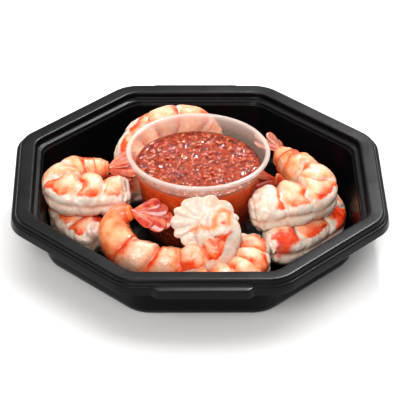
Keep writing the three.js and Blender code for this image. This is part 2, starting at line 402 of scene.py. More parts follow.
@dataclass(frozen=True)
class SpeckleGroup:
    """A shader node group that gives a mask of small soft specks and a height to match."""

    name: str = "speckle"

    def tree(self) -> bpy.types.NodeTree:
        """The group, built once and shared by the materials that use it.

        Returns:
            The node group, with inputs Vector, Size, Cover and Seed, and outputs Mask and Height.
        """
        if self.name in bpy.data.node_groups:
            return bpy.data.node_groups[self.name]
        tree = bpy.data.node_groups.new(self.name, "ShaderNodeTree")
        tree.interface.new_socket("Vector", in_out="INPUT", socket_type="NodeSocketVector")
        for socket, value in (("Size", 1.0), ("Cover", 0.3), ("Seed", 0.0)):
            made = tree.interface.new_socket(socket, in_out="INPUT", socket_type="NodeSocketFloat")
            made.default_value = value
        for socket in ("Mask", "Height"):
            tree.interface.new_socket(socket, in_out="OUTPUT", socket_type="NodeSocketFloat")
        graph = Graph(tree)
        start = graph.add("NodeGroupInput").outputs
        scale = graph.math("DIVIDE", 1000.0, start["Size"])
        cloud = graph.add(
            "ShaderNodeTexNoise",
            {"Vector": start["Vector"], "W": start["Seed"], "Scale": scale, "Detail": 2.0},
            noise_dimensions="4D",
        )
        edge = graph.math("SUBTRACT", 0.78, graph.times(start["Cover"], 0.5))
        above = graph.math("SUBTRACT", cloud.outputs[0], edge)
        mask = graph.ramp(above, -0.04, 0.05)
        end = graph.add("NodeGroupOutput")
        graph.feed(end.inputs["Mask"], mask)
        graph.feed(end.inputs["Height"], graph.times(mask, cloud.outputs[0]))
        return tree


@dataclass(frozen=True)
class UnevenGroup:
    """A shader node group that makes roughness uneven and lifts a fine relief, as wet skins have."""

    name: str = "uneven_skin"

    def tree(self) -> bpy.types.NodeTree:
        """The group, built once.

        Returns:
            The node group, with inputs Size, Roughness and Spread, and outputs Roughness and Height.
        """
        if self.name in bpy.data.node_groups:
            return bpy.data.node_groups[self.name]
        tree = bpy.data.node_groups.new(self.name, "ShaderNodeTree")
        for socket, value in (("Size", 2.0), ("Roughness", 0.3), ("Spread", 0.1)):
            made = tree.interface.new_socket(socket, in_out="INPUT", socket_type="NodeSocketFloat")
            made.default_value = value
        for socket in ("Roughness", "Height"):
            tree.interface.new_socket(socket, in_out="OUTPUT", socket_type="NodeSocketFloat")
        graph = Graph(tree)
        start = graph.add("NodeGroupInput").outputs
        place = graph.add("ShaderNodeTexCoord").outputs["Object"]
        scale = graph.math("DIVIDE", 1000.0, start["Size"])
        broad = graph.add("ShaderNodeTexNoise", {"Vector": place, "Scale": scale, "Detail": 3.0})
        fine = graph.add(
            "ShaderNodeTexNoise",
            {"Vector": place, "Scale": graph.times(scale, 5.0), "Detail": 2.0},
        )
        centred = graph.math("SUBTRACT", broad.outputs[0], 0.5)
        shift = graph.times(centred, graph.times(start["Spread"], 4.0))
        end = graph.add("NodeGroupOutput")
        rough = graph.math("ADD", start["Roughness"], shift, clamp=True)
        graph.feed(end.inputs["Roughness"], rough)
        weighted = graph.times(fine.outputs[0], 0.3)
        graph.feed(end.inputs["Height"], graph.math("ADD", broad.outputs[0], weighted))
        return tree


class Finish:
    """What every finish shares: a new material with its Principled shader and uneven gloss."""

    name: str

    def begin(self) -> tuple[bpy.types.Material, Graph, bpy.types.Node]:
        """A material with a Principled shader joined to its output.

        Returns:
            The material, its graph and its shader.
        """
        material = bpy.data.materials.new(self.name)
        material.use_nodes = True
        graph = Graph(material.node_tree)
        shader = graph.add("ShaderNodeBsdfPrincipled")
        end = graph.add("ShaderNodeOutputMaterial")
        graph.feed(end.inputs["Surface"], shader.outputs[0])
        return material, graph, shader

    @staticmethod
    def fix(shader: bpy.types.Node, values: dict[str, object]) -> None:
        """Sets what is the same over the whole surface, on the shader's own sockets."""
        for socket, value in values.items():
            shader.inputs[socket].default_value = value

    def uneven(self, graph: Graph, size: float, roughness: float, spread: float) -> bpy.types.Node:
        """The shared uneven-skin group, placed with this finish's own values."""
        node = graph.add("ShaderNodeGroup", node_tree=UnevenGroup().tree())
        for key, value in (("Size", size), ("Roughness", roughness), ("Spread", spread)):
            node.inputs[key].default_value = value
        return node

    def speckle(self, graph: Graph, size: float, cover: float, seed: float) -> bpy.types.Node:
        """The shared speckle group on object coordinates, placed with this finish's own values."""
        node = graph.add("ShaderNodeGroup", node_tree=SpeckleGroup().tree())
        graph.feed(node.inputs["Vector"], graph.add("ShaderNodeTexCoord").outputs["Object"])
        for key, value in (("Size", size), ("Cover", cover), ("Seed", seed)):
            node.inputs[key].default_value = value
        return node

    def bump(self, graph: Graph, shader: bpy.types.Node, height: object, depth: float) -> None:
        """Feeds a height into the shader's normal, with its depth in millimetres."""
        node = graph.add("ShaderNodeBump", {"Height": height, "Distance": depth * MM})
        graph.feed(shader.inputs["Normal"], node.outputs[0])


@dataclass(frozen=True)
class TrayPlastic(Finish):
    """Black sheet plastic, formed hot over a mould: satin, with a faint orange peel and scuffs."""

    name: str = "tray_black_plastic"
    base: Colour = (0.004, 0.004, 0.0045)
    scuff: Colour = (0.012, 0.012, 0.013)
    roughness: float = 0.30

    def material(self) -> bpy.types.Material:
        """The finished material."""
        material, graph, shader = self.begin()
        skin = self.uneven(graph, 14.0, self.roughness, 0.05)
        scuffs = self.speckle(graph, 2.2, 0.32, 4.0)
        share = graph.times(scuffs.outputs["Mask"], 0.2)
        base = graph.mix(share, colour4(self.base), colour4(self.scuff))
        graph.feed(shader.inputs["Base Color"], base)
        rough = graph.math("ADD", skin.outputs["Roughness"], graph.times(share, 0.12))
        graph.feed(shader.inputs["Roughness"], rough)
        shader.inputs["Specular IOR Level"].default_value = 0.18
        self.bump(graph, shader, skin.outputs["Height"], 0.03)
        return material


@dataclass(frozen=True)
class CupPlastic(Finish):
    """Milky see-through plastic: clearer in the thin wall and nearly white in the thick lip."""

    name: str = "cup_milky_plastic"
    thin: Colour = (0.90, 0.68, 0.56)
    thick: Colour = (0.74, 0.67, 0.65)
    roughness: float = 0.2

    def material(self) -> bpy.types.Material:
        """The finished material, which reads how milky each part is from the mesh."""
        material, graph, shader = self.begin()
        milk = graph.read("milk")
        graph.feed(shader.inputs["Base Color"], graph.mix(milk, colour4(self.thin), colour4(self.thick)))
        skin = self.uneven(graph, 9.0, self.roughness, 0.04)
        graph.feed(shader.inputs["Roughness"], skin.outputs["Roughness"])
        grazing = graph.add("ShaderNodeLayerWeight", {"Blend": 0.25}).outputs["Facing"]
        graph.feed(
            shader.inputs["Alpha"],
            graph.math("ADD", milk, graph.times(grazing, 0.04), clamp=True),
        )
        self.fix(shader, {
            "Coat Weight": 0.3,
            "Coat Roughness": 0.08,
        })
        self.bump(graph, shader, skin.outputs["Height"], 0.015)
        return material


@dataclass(frozen=True)
class SauceFinish(Finish):
    """Chunky tomato and horseradish sauce: red-brown and wet, with orange pulp and pale grains."""

    name: str = "cocktail_sauce_wet"
    deep: Colour = (0.17, 0.013, 0.003)
    red: Colour = (0.33, 0.036, 0.007)
    pulp: Colour = (0.54, 0.11, 0.020)
    grain: Colour = (0.82, 0.36, 0.12)
    # Strength of a painted glow: the sauce at the cup's wall emits its wall colour.
    glow: float = 0.30

    def material(self) -> bpy.types.Material:
        """The finished material, which reads the colour seen through the cup's wall from the mesh, and makes
        the sauce at the wall glow with it as painted light.
        """
        material, graph, shader = self.begin()
        broad = self.speckle(graph, 4.0, 0.60, 1.0)
        pulp = self.speckle(graph, 3.1, 0.42, 5.0)
        grain = self.speckle(graph, 1.4, 0.20, 9.0)
        base = graph.mix(broad.outputs["Mask"], colour4(self.deep), colour4(self.red))
        base = graph.mix(graph.times(pulp.outputs["Mask"], 0.5), base, colour4(self.pulp))
        base = graph.mix(graph.times(grain.outputs["Mask"], 0.4), base, colour4(self.grain))
        tint = graph.read("wall_tint_and_painted_shade", "Color")
        at_wall = graph.read("at_wall")
        seen = graph.mix(graph.times(pulp.outputs["Mask"], 0.25), tint, base)
        graph.feed(shader.inputs["Base Color"], graph.mix(at_wall, base, seen))
        # Painted glow: the sauce at the wall emits its wall colour, though it is no lamp.
        graph.feed(shader.inputs["Emission Color"], graph.mix(at_wall, (0.0, 0.0, 0.0, 1.0), tint))
        shader.inputs["Emission Strength"].default_value = self.glow
        skin = self.uneven(graph, 2.4, 0.30, 0.06)
        graph.feed(shader.inputs["Roughness"], skin.outputs["Roughness"])
        self.fix(shader, {
            "Specular IOR Level": 0.05,
            "Subsurface Weight": 0.15,
            "Subsurface Radius": (1.0, 0.2, 0.1),
            "Subsurface Scale": 1.2 * MM,
            "Coat Weight": 0.5,
            "Coat Roughness": 0.05,
        })
        pulp_lift = graph.times(pulp.outputs["Height"], 0.6)
        grain_lift = graph.times(grain.outputs["Height"], 0.3)
        lift = graph.math("ADD", skin.outputs["Height"], graph.math("ADD", pulp_lift, grain_lift))
        self.bump(graph, shader, lift, 0.40)
        return material


@dataclass(frozen=True)
class BitFinish(Finish):
    """A small wet bit in the sauce, of one colour that varies from grain to grain."""

    name: str
    base: Colour
    second: Colour
    roughness: float = 0.25

    def material(self) -> bpy.types.Material:
        """The finished material."""
        material, graph, shader = self.begin()
        patches = self.speckle(graph, 2.0, 0.5, 3.0)
        base = graph.mix(patches.outputs["Mask"], colour4(self.base), colour4(self.second))
        graph.feed(shader.inputs["Base Color"], base)
        skin = self.uneven(graph, 1.5, self.roughness, 0.06)
        graph.feed(shader.inputs["Roughness"], skin.outputs["Roughness"])
        self.fix(shader, {
            "Coat Weight": 0.6,
            "Coat Roughness": 0.06,
        })
        self.bump(graph, shader, skin.outputs["Height"], 0.1)
        return material


@dataclass(frozen=True)
class ShrimpFinish(Finish):
    """Wet cooked shrimp: its colours come from the mesh, with fine dots, fibres and a wet coat."""

    name: str
    dots: Colour = (0.80, 0.10, 0.02)
    dot_share: float = 0.22
    roughness: float = 0.36
    relief: float = 0.22
    subsurface: float = 0.35
    coat: float = 0.4

    def material(self) -> bpy.types.Material:
        """The finished material."""
        material, graph, shader = self.begin()
        tint = graph.read("tint", "Color")
        skin_share = graph.read("skin")
        dots = self.speckle(graph, 0.8, 0.42, 2.0)
        clouds = self.speckle(graph, 3.5, 0.5, 6.0)
        share = graph.times(dots.outputs["Mask"], skin_share)
        base = graph.mix(graph.times(share, self.dot_share), tint, colour4(self.dots))
        pale = graph.mix(0.07, base, colour4((1.0, 0.93, 0.86)))
        graph.feed(shader.inputs["Base Color"], graph.mix(clouds.outputs["Mask"], base, pale))
        skin = self.uneven(graph, 1.8, self.roughness, 0.10)
        graph.feed(shader.inputs["Roughness"], skin.outputs["Roughness"])
        self.fix(shader, {
            "Subsurface Weight": self.subsurface,
            "Subsurface Radius": (1.0, 0.42, 0.25),
            "Subsurface Scale": 2.2 * MM,
            "Specular IOR Level": 0.32,
            "Coat Weight": self.coat,
            "Coat Roughness": 0.07,
        })
        self.bump(graph, shader, skin.outputs["Height"], self.relief)
        return material


@dataclass(frozen=True)
class FloorFinish(Finish):
    """A plain pale matt surface to stand on."""

    name: str = "pale_floor"
    base: Colour = (0.93, 0.93, 0.93)

    def material(self) -> bpy.types.Material:
        """The finished material."""
        material, _, shader = self.begin()
        self.fix(shader, {
            "Base Color": colour4(self.base),
            "Roughness": 0.9,
            "Specular IOR Level": 0.1,
        })
        return material


def dress(piece: bpy.types.Object, material: bpy.types.Material) -> None:
    """Gives the whole piece one material."""
    piece.data.materials.clear()
    piece.data.materials.append(material)


def settle(piece: bpy.types.Object, slot: str, *nodes: str) -> None:
    """Ties a finished piece to the frame.

    Args:
        piece: The piece, which rides on the one body.
        slot: The material slot it would take; not used.
        *nodes: The CAD nodes it stands for, if any.
    """
    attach(piece, "root")
    if nodes:
        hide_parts(*nodes)
    LOG.info("%s: %d vertices, %d faces", piece.name, len(piece.data.vertices), len(piece.data.polygons))


def box_mm(node: str) -> tuple[Array, Array]:
    """The lowest and highest corner of a CAD node, in millimetres."""
    low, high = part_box(node)
    return np.array(low) / MM, np.array(high) / MM


# ---------------------------------------------------------------- tray


@dataclass
class Tray:
    """The formed tray: floor, sloping walls, inner step, flat rim, and a lip with two pull tabs."""

    half_width: float
    height: float
    tab_reach: float
    sheet: float = 0.8
    tab_half: float = 21.3
    tab_ear: float = 4.2
    ear_bump: float = 0.7
    corner_steps: int = 12
    tab_steps: int = 40
    bend: float = 1.1
    bend_steps: int = 5

    @classmethod
    def from_frame(cls) -> Tray:
        """The tray as large as its CAD node."""
        _, high = box_mm("tray")
        return cls(half_width=high[0], height=high[2], tab_reach=high[1] - high[0])

    @property
    def floor_z(self) -> float:
        """The height of the floor's upper side."""
        return self.sheet + 0.1

    def profile(self) -> Array:
        """The sheet's section, from the underside's middle over the rim to the floor's middle.

        Returns:
            Rows of apothem, height, corner radius and tab share.
        """
        lip, top = self.half_width, self.height
        under = [
            (lip - 22.5, 0, 14, 0),
            (lip - 19.6, 0.9, 16.5, 0),
            (lip - 18.1, 3.6, 17.5, 0),
            (lip - 14.0, 26.4, 13, 0),
            (lip - 13.5, 28.2, 12, 0),
            (lip - 10.3, 28.4, 11.5, 0),
            (lip - 9.9, top - 1.1, 12, 0),
            (lip - 3.8, top - 0.9, 17, 0),
            (lip - 3.4, top - 3.8, 17.3, 0),
            (lip - 1.7, top - 3.9, 18.2, 1),
            (lip - 0.9, 25.4, 18.6, 1),
        ]
        over = [
            (lip, 25.4, 19, 1),
            (lip - 0.6, top - 3.3, 19, 1),
            (lip - 1.0, top - 2.9, 18.8, 1),
            (lip - 2.4, top - 2.8, 18, 0),
            (lip - 2.7, top - 0.5, 18, 0),
            (lip - 3.4, top, 17.6, 0),
            (lip - 10.1, top - 0.3, 11.5, 0),
            (lip - 10.7, top - 0.8, 11, 0),
            (lip - 11.1, top - 3.6, 10.7, 0),
            (lip - 13.7, top - 3.8, 10.4, 0),
            (lip - 14.1, 27.5, 12, 0),
            (lip - 14.8, 27.2, 12, 0),
            (lip - 18.9, 4.5, 16.5, 0),
            (lip - 20.2, 1.8, 16, 0),
            (lip - 23.0, self.floor_z, 13.5, 0),
        ]
        rows = np.array([(20, 0, 4, 0), *under, *over, (20, self.floor_z, 4, 0)], dtype=float)
        return rounded(rows, self.bend, self.bend_steps)

    def ring(self, apothem: float, z: float, radius: float, tab: float) -> Array:
        """One octagonal ring with rounded corners.

        Args:
            apothem: From the middle to a side.
            z: Its height.
            radius: Of its corners.
            tab: How much of a pull tab the front and back sides carry, from 0 to 1.

        Returns:
            The ring's points, the same number whatever the sizes.
        """
        edge = self.tab_half + self.tab_ear
        straight = (apothem - radius) * math.tan(EIGHTH / 2)
        stops = np.linspace(-edge, edge, self.tab_steps)
        share = smoothstep(0, 1, (edge - np.abs(stops)) / self.tab_ear)
        bump = bell(np.abs(stops), self.tab_half + 1.6, 1.1) * self.ear_bump * (1 - share * 0.5)
        reach = tab * (self.tab_reach * share + bump)
        along = stops if straight > edge + 1 else stops / edge * (straight - 1)
        centre = (apothem - radius) / math.cos(EIGHTH / 2)
        points = []
        for side in range(8):
            turn = side * EIGHTH - math.pi / 2
            out = np.array([math.cos(turn), math.sin(turn)])
            left = np.array([-out[1], out[0]])
            if side % 4 == 0:
                points.extend(out * (apothem + reach)[:, None] + left * along[:, None])
            corner = turn + EIGHTH / 2
            angles = turn + np.linspace(0, EIGHTH, self.corner_steps)
            arc = np.stack([np.cos(angles), np.sin(angles)], axis=-1) * radius
            points.extend(arc + centre * np.array([math.cos(corner), math.sin(corner)]))
        flat = np.array(points)
        return np.column_stack([flat, np.full(len(flat), z)])

    def build(self) -> None:
        """Builds the tray as one closed sheet, in place of its CAD node."""
        rings = np.array([self.ring(*row) for row in self.profile()])
        poles = [np.array([0.0, 0.0, z]) for z in (0.0, self.floor_z)]
        piece = make_object("tray_formed", *loft(rings, *poles))
        dress(piece, TrayPlastic().material())
        settle(piece, "tray_plastic", "tray")

    def inner_apothem(self, z: Array) -> Array:
        """How far out the inside of the wall is at a height."""
        return self.half_width - 20.2 + (np.clip(z, 1.8, 27.2) - 1.8) * (5.4 / 25.4)

    def keep_inside(self, points: Array, gap: float) -> Array:
        """The points, with those in the floor or the wall moved just inside.

        Args:
            points: Places in millimetres.
            gap: How far off the plastic they stay.

        Returns:
            The moved places.
        """
        moved = points.copy()
        moved[:, 2] = np.maximum(moved[:, 2], self.floor_z + gap)
        room = self.inner_apothem(moved[:, 2]) - gap
        for side in range(8):
            out = np.array([math.cos(side * EIGHTH), math.sin(side * EIGHTH)])
            over = np.maximum(moved[:, :2] @ out - room, 0)
            moved[:, :2] -= over[:, None] * out
        return moved


# ---------------------------------------------------------------- cup and sauce


@dataclass
class SauceCup:
    """The stepped portion cup: a foot ring, a tapered wall, a ledge, a neck and a flat lip."""

    middle_x: float
    radius: float
    foot_z: float
    rim_z: float
    wall: float = 0.8
    around: int = 144
    thin: float = 0.004
    neck: float = 0.13
    lip: float = 0.55

    @classmethod
    def from_frame(cls) -> SauceCup:
        """The cup as large as its CAD node."""
        low, high = box_mm("sauce_cup")
        return cls((low[0] + high[0]) / 2, (high[0] - low[0]) / 2, low[2], high[2])

    @property
    def ledge_z(self) -> float:
        """The height at which the wall steps out below the lip."""
        return self.foot_z + 39

    def outside(self) -> Array:
        """Radius, height and milkiness, from the middle of the underside to the lip."""
        r, foot, ledge, rim = self.radius, self.foot_z, self.ledge_z, self.rim_z
        return np.array([
            (1, foot + 1.1, self.thin),
            (r - 13.4, foot + 1.1, self.thin),
            (r - 12.4, foot, self.thin),
            (r - 10.4, foot, self.thin),
            (r - 9.4, foot + 1.2, self.thin),
            (r - 4.4, ledge - 1, self.thin),
            (r - 3.1, ledge, self.neck),
            (r - 1.7, rim - 2.3, self.neck),
            (r - 0.4, rim - 2.1, self.lip),
            (r, rim - 1.5, self.lip),
            (r, rim - 0.6, self.lip),
            (r - 0.6, rim, self.lip),
        ])

    def inside(self) -> Array:
        """Radius, height and milkiness, from the lip to the middle of the floor."""
        r, foot, ledge, rim = self.radius, self.foot_z, self.ledge_z, self.rim_z
        return np.array([
            (r - 2.0, rim, self.lip),
            (r - 2.6, rim - 0.6, self.lip),
            (r - 3.1 - self.wall + 0.1, ledge + 0.5, self.neck),
            (r - 4.4 - self.wall, ledge - 0.5, self.neck),
            (r - 9.4 - self.wall - 0.4, foot + 2.9, self.thin),
            (r - 11.6, foot + 1.9, self.thin),
            (1, foot + 1.9, self.thin),
        ])

    def inner_radius(self, z: Array) -> Array:
        """How far out the inside of the wall is at a height below the ledge."""
        share = (z - self.foot_z - 2.9) / (self.ledge_z - 0.5 - self.foot_z - 2.9)
        return self.radius - 10.6 + share * 5.4

    def outer_radius(self, z: Array) -> Array:
        """How far out the cup reaches at a height, for what leans on it."""
        heights = [self.foot_z, self.foot_z + 1.2, self.ledge_z - 1, self.ledge_z]
        heights += [self.rim_z - 2.3, self.rim_z - 2.1, self.rim_z]
        radii = [self.radius - k for k in (10.4, 9.4, 4.4, 3.1, 1.7, 0, 0)]
        return np.interp(z, heights, radii)

    def keep_outside(self, points: Array, gap: float) -> Array:
        """The points, with those in the cup moved just outside its wall."""
        moved = points.copy()
        flat = moved[:, :2] - [self.middle_x, 0]
        reach = np.maximum(np.linalg.norm(flat, axis=1), 1e-6)
        need = self.outer_radius(moved[:, 2]) + gap
        inside = (reach < need) & (moved[:, 2] < self.rim_z + gap)
        scale = np.where(inside, need / reach, 1.0)
        moved[:, :2] = flat * scale[:, None] + [self.middle_x, 0]
        return moved

    def build(self) -> None:
        """Builds the cup as one closed turned body, in place of its CAD node."""
        profile = rounded(np.concatenate([self.outside(), self.inside()]), 0.6, 5)
        points, faces = revolve(profile, self.around, self.middle_x)
        piece = make_object("sauce_cup_moulded", points, faces)
        milk = np.repeat(profile[:, 2], self.around)
        set_number(piece, "milk", np.concatenate([milk, profile[[0, -1], 2]]))
        dress(piece, CupPlastic().material())
        settle(piece, "cup_plastic", "sauce_cup")


class Bit(Enum):
    """The kinds of small things that lie in the sauce."""

    HORSERADISH = "horseradish_shreds"
    PULP = "tomato_pulp"
    PEPPER = "dark_grains"


@dataclass(frozen=True)
class BitKind:
    """How one kind of bit looks: proportions, how many to a square millimetre, size, colours."""

    stretch: tuple[float, float, float]
    density: float
    size: float
    colours: tuple[Colour, Colour]


BIT_KINDS = {
    Bit.HORSERADISH: BitKind((1.9, 0.55, 0.4), 0.02, 0.95, ((0.80, 0.46, 0.26), (0.70, 0.26, 0.12))),
    Bit.PULP: BitKind((1.0, 0.8, 0.45), 0.042, 2.6, ((0.42, 0.05, 0.018), (0.60, 0.14, 0.035))),
    Bit.PEPPER: BitKind((0.8, 0.7, 0.5), 0.015, 0.6, ((0.12, 0.015, 0.006), (0.24, 0.03, 0.010))),
}


@dataclass
class Sauce:
    """The sauce: a chunky wet surface under the ledge, and a body that reaches into the cup's wall."""

    cup: SauceCup
    level: float
    into_wall: float = 0.15
    around: int = 300
    rows: int = 110
    seed: int = 21
    # Colours of the sauce seen at the cup's wall: bright under the surface and dark lower down, painted
    # light and shade of its depth.
    bright: Colour = (0.76, 0.095, 0.008)
    middle_red: Colour = (0.42, 0.014, 0.003)
    dark: Colour = (0.13, 0.003, 0.002)

    @classmethod
    def from_frame(cls, cup: SauceCup) -> Sauce:
        """The sauce up to the level of its CAD node."""
        _, high = box_mm("cocktail_sauce")
        return cls(cup, high[2] - 0.7)

    def relief(self, x: Array, y: Array) -> Array:
        """The height of the lumpy surface over its level."""
        place = np.stack([x, y, np.zeros_like(x)], axis=-1)
        lumps = 0.60 * fractal(place, 8.0, self.seed)
        chunks = 1.60 * (0.40 - np.abs(fractal(place, 5.6, self.seed + 3)))
        grains = 0.34 * fractal(place, 2.3, self.seed + 5, 2)
        return lumps + chunks + grains

    def build(self) -> None:
        """Builds the sauce and the bits in it."""
        foot = self.cup.foot_z + 1.9 - self.into_wall
        wall = [(self.cup.inner_radius(z) + self.into_wall, z) for z in (foot + 1.2, self.level - 0.6)]
        edge = self.cup.inner_radius(self.level) + self.into_wall
        side = np.array([(1, foot), (wall[0][0] - 1.5, foot), *wall, (edge, self.level + 0.3)])
        surface = np.linspace(edge, 0.3, self.rows)
        profile = np.concatenate([side, np.column_stack([surface, np.full(self.rows, self.level)])])
        points, faces = revolve(profile, self.around, self.cup.middle_x)
        top = points[:, 2] >= self.level - 1e-6
        x, y = points[:, 0] - self.cup.middle_x, points[:, 1]
        from_edge = edge - np.hypot(x, y)
        calm = smoothstep(0.0, 2.5, from_edge)
        climb = 0.5 * np.exp(-np.maximum(from_edge, 0) / 1.2)
        points[:, 2] += np.where(top, self.relief(x, y) * calm + climb, 0)
        body = make_object("cocktail_sauce_body", points, faces)
        depth = self.level - points[:, 2]
        # Painted shade: the wall colour turns from bright to dark red with depth below the surface.
        tint = blend(filled(self.bright, len(points)), self.middle_red, smoothstep(1.0, 9.0, depth))
        set_colour(body, "wall_tint_and_painted_shade", blend(tint, self.dark, smoothstep(8.0, 30.0, depth)))
        set_number(body, "at_wall", smoothstep(0.3, -0.1, from_edge) * ~top)
        dress(body, SauceFinish().material())
        settle(body, "sauce", "cocktail_sauce")
        for order, kind in enumerate(Bit):
            self.scatter(body, kind, order)

    def chunk(self, kind: Bit) -> bpy.types.Object:
        """One small lump of a kind, a millimetre across, for the scatter to repeat."""
        heights = np.linspace(-1, 1, 7)[1:-1]
        rings = turned_rings(np.column_stack([np.sqrt(1 - heights**2), heights]), 8)
        points, faces = loft(rings, np.array([0, 0, -1.0]), np.array([0, 0, 1.0]))
        points *= 1 + 0.3 * noise(points, 0.8, self.seed + len(kind.value))[:, None]
        return make_object(f"{kind.value}_one", points * np.array(BIT_KINDS[kind].stretch) * 0.5, faces)

    def scatter(self, body: bpy.types.Object, kind: Bit, order: int) -> None:
        """A piece holding many lumps of one kind, scattered over the sauce by Geometry Nodes.

        Args:
            body: The sauce, whose upper faces carry the lumps.
            kind: What is scattered.
            order: Which scatter this is, for its seed.
        """
        look = BIT_KINDS[kind]
        one = self.chunk(kind)
        carrier = link(f"{kind.value}_carrier", body.data.copy())
        tree = ScatterTree(f"scatter_{kind.value}").tree()
        modifier = carrier.modifiers.new("scatter", "NODES")
        modifier.node_group = tree
        material = BitFinish(f"{kind.value}_finish", *look.colours).material()
        values = {
            "Lump": one,
            "Density": look.density / MM**2,
            "Size": look.size,
            "Seed": self.seed + order,
            "Lowest": (self.level - 1.4) * MM,
            "Reach": (self.cup.inner_radius(self.level) - 1.0) * MM,
            "Middle": self.cup.middle_x * MM,
            "Material": material,
        }
        for item in tree.interface.items_tree:
            if item.in_out == "INPUT" and item.name in values:
                modifier[item.identifier] = values[item.name]
        evaluated = carrier.evaluated_get(bpy.context.evaluated_depsgraph_get())
        mesh = bpy.data.meshes.new_from_object(evaluated)
        piece = link(kind.value, mesh)
        carrier.modifiers.remove(modifier)
        for used in (carrier, one):
            bpy.data.objects.remove(used)
        dress(piece, material)
        settle(piece, "sauce")


@dataclass(frozen=True)
class ScatterTree:
    """A Geometry Nodes tree that scatters turned, uneven copies of a lump over a surface's upper faces."""

    name: str

    def tree(self) -> bpy.types.NodeTree:
        """The tree, with named inputs for its sizes.

        Returns:
            The node group.
        """
        tree = bpy.data.node_groups.new(self.name, "GeometryNodeTree")
        sockets = [
            ("Geometry", "NodeSocketGeometry"),
            ("Lump", "NodeSocketObject"),
            ("Density", "NodeSocketFloat"),
            ("Size", "NodeSocketFloat"),
            ("Seed", "NodeSocketInt"),
            ("Lowest", "NodeSocketFloat"),
            ("Reach", "NodeSocketFloat"),
            ("Middle", "NodeSocketFloat"),
            ("Material", "NodeSocketMaterial"),
        ]
        for name, kind in sockets:
            tree.interface.new_socket(name, in_out="INPUT", socket_type=kind)
        tree.interface.new_socket("Geometry", in_out="OUTPUT", socket_type="NodeSocketGeometry")
        graph = Graph(tree)
        start = graph.add("NodeGroupInput").outputs
        place = graph.add("ShaderNodeSeparateXYZ", {0: graph.add("GeometryNodeInputPosition").outputs[0]})
        x, y, z = place.outputs
        off = graph.math("SUBTRACT", x, start["Middle"])
        squares = graph.math("ADD", graph.times(off, off), graph.times(y, y))
        near = graph.math("LESS_THAN", graph.math("SQRT", squares), start["Reach"])
        high = graph.math("GREATER_THAN", z, start["Lowest"])
        density = graph.times(graph.times(near, high), start["Density"])
        dots = graph.add(
            "GeometryNodeDistributePointsOnFaces",
            {"Mesh": start["Geometry"], "Density": density, "Seed": start["Seed"]},
        )
        lump = graph.add("GeometryNodeObjectInfo", {"Object": start["Lump"]})
        turn = graph.add("FunctionNodeRandomValue", {"Seed": start["Seed"]}, data_type="FLOAT_VECTOR")
        turn.inputs[0].default_value = (-0.5, -0.5, 0.0)
        turn.inputs[1].default_value = (0.5, 0.5, TAU)
        scale = graph.add("FunctionNodeRandomValue", {"Seed": start["Seed"]}, data_type="FLOAT")
        scale.inputs[2].default_value = 0.55
        scale.inputs[3].default_value = 1.45
        copies = graph.add("GeometryNodeInstanceOnPoints", {
            "Points": dots.outputs["Points"],
            "Instance": lump.outputs["Geometry"],
            "Rotation": turn.outputs[0],
            "Scale": graph.times(scale.outputs[1], start["Size"]),
        })
        real = graph.add("GeometryNodeRealizeInstances", {"Geometry": copies.outputs[0]})
        coated = graph.add(
            "GeometryNodeSetMaterial",
            {"Geometry": real.outputs[0], "Material": start["Material"]},
        )
        end = graph.add("NodeGroupOutput")
        graph.feed(end.inputs[0], coated.outputs[0])
        return tree


# ---------------------------------------------------------------- shrimp


@dataclass(frozen=True)
class Blade:
    """One blade of a tail fan: its turn in the fan's plane, its tilt out of it, and its size."""

    yaw: float
    pitch: float
    length: float
    width: float


FULL_FAN = (
    Blade(-38, -4, 14.5, 6.4),
    Blade(38, -4, 14.5, 6.4),
    Blade(-20, 3, 16.5, 6.8),
    Blade(20, 3, 16.5, 6.8),
    Blade(0, 9, 12.5, 4.2),
)


@dataclass(frozen=True)
class Palette:
    """The colours of a cooked shrimp, linear."""

    white: Colour = (0.79, 0.70, 0.61)
    cream: Colour = (0.88, 0.68, 0.52)
    beige: Colour = (0.72, 0.50, 0.34)
    belly: Colour = (0.88, 0.62, 0.42)
    peach: Colour = (1.0, 0.54, 0.31)
    orange: Colour = (0.97, 0.27, 0.075)
    vivid: Colour = (0.88, 0.07, 0.005)
    deep: Colour = (0.42, 0.010, 0.005)
    coral: Colour = (0.68, 0.060, 0.020)
    pink: Colour = (0.86, 0.32, 0.20)
    brown: Colour = (0.42, 0.17, 0.09)
    vein: Colour = (0.80, 0.42, 0.26)


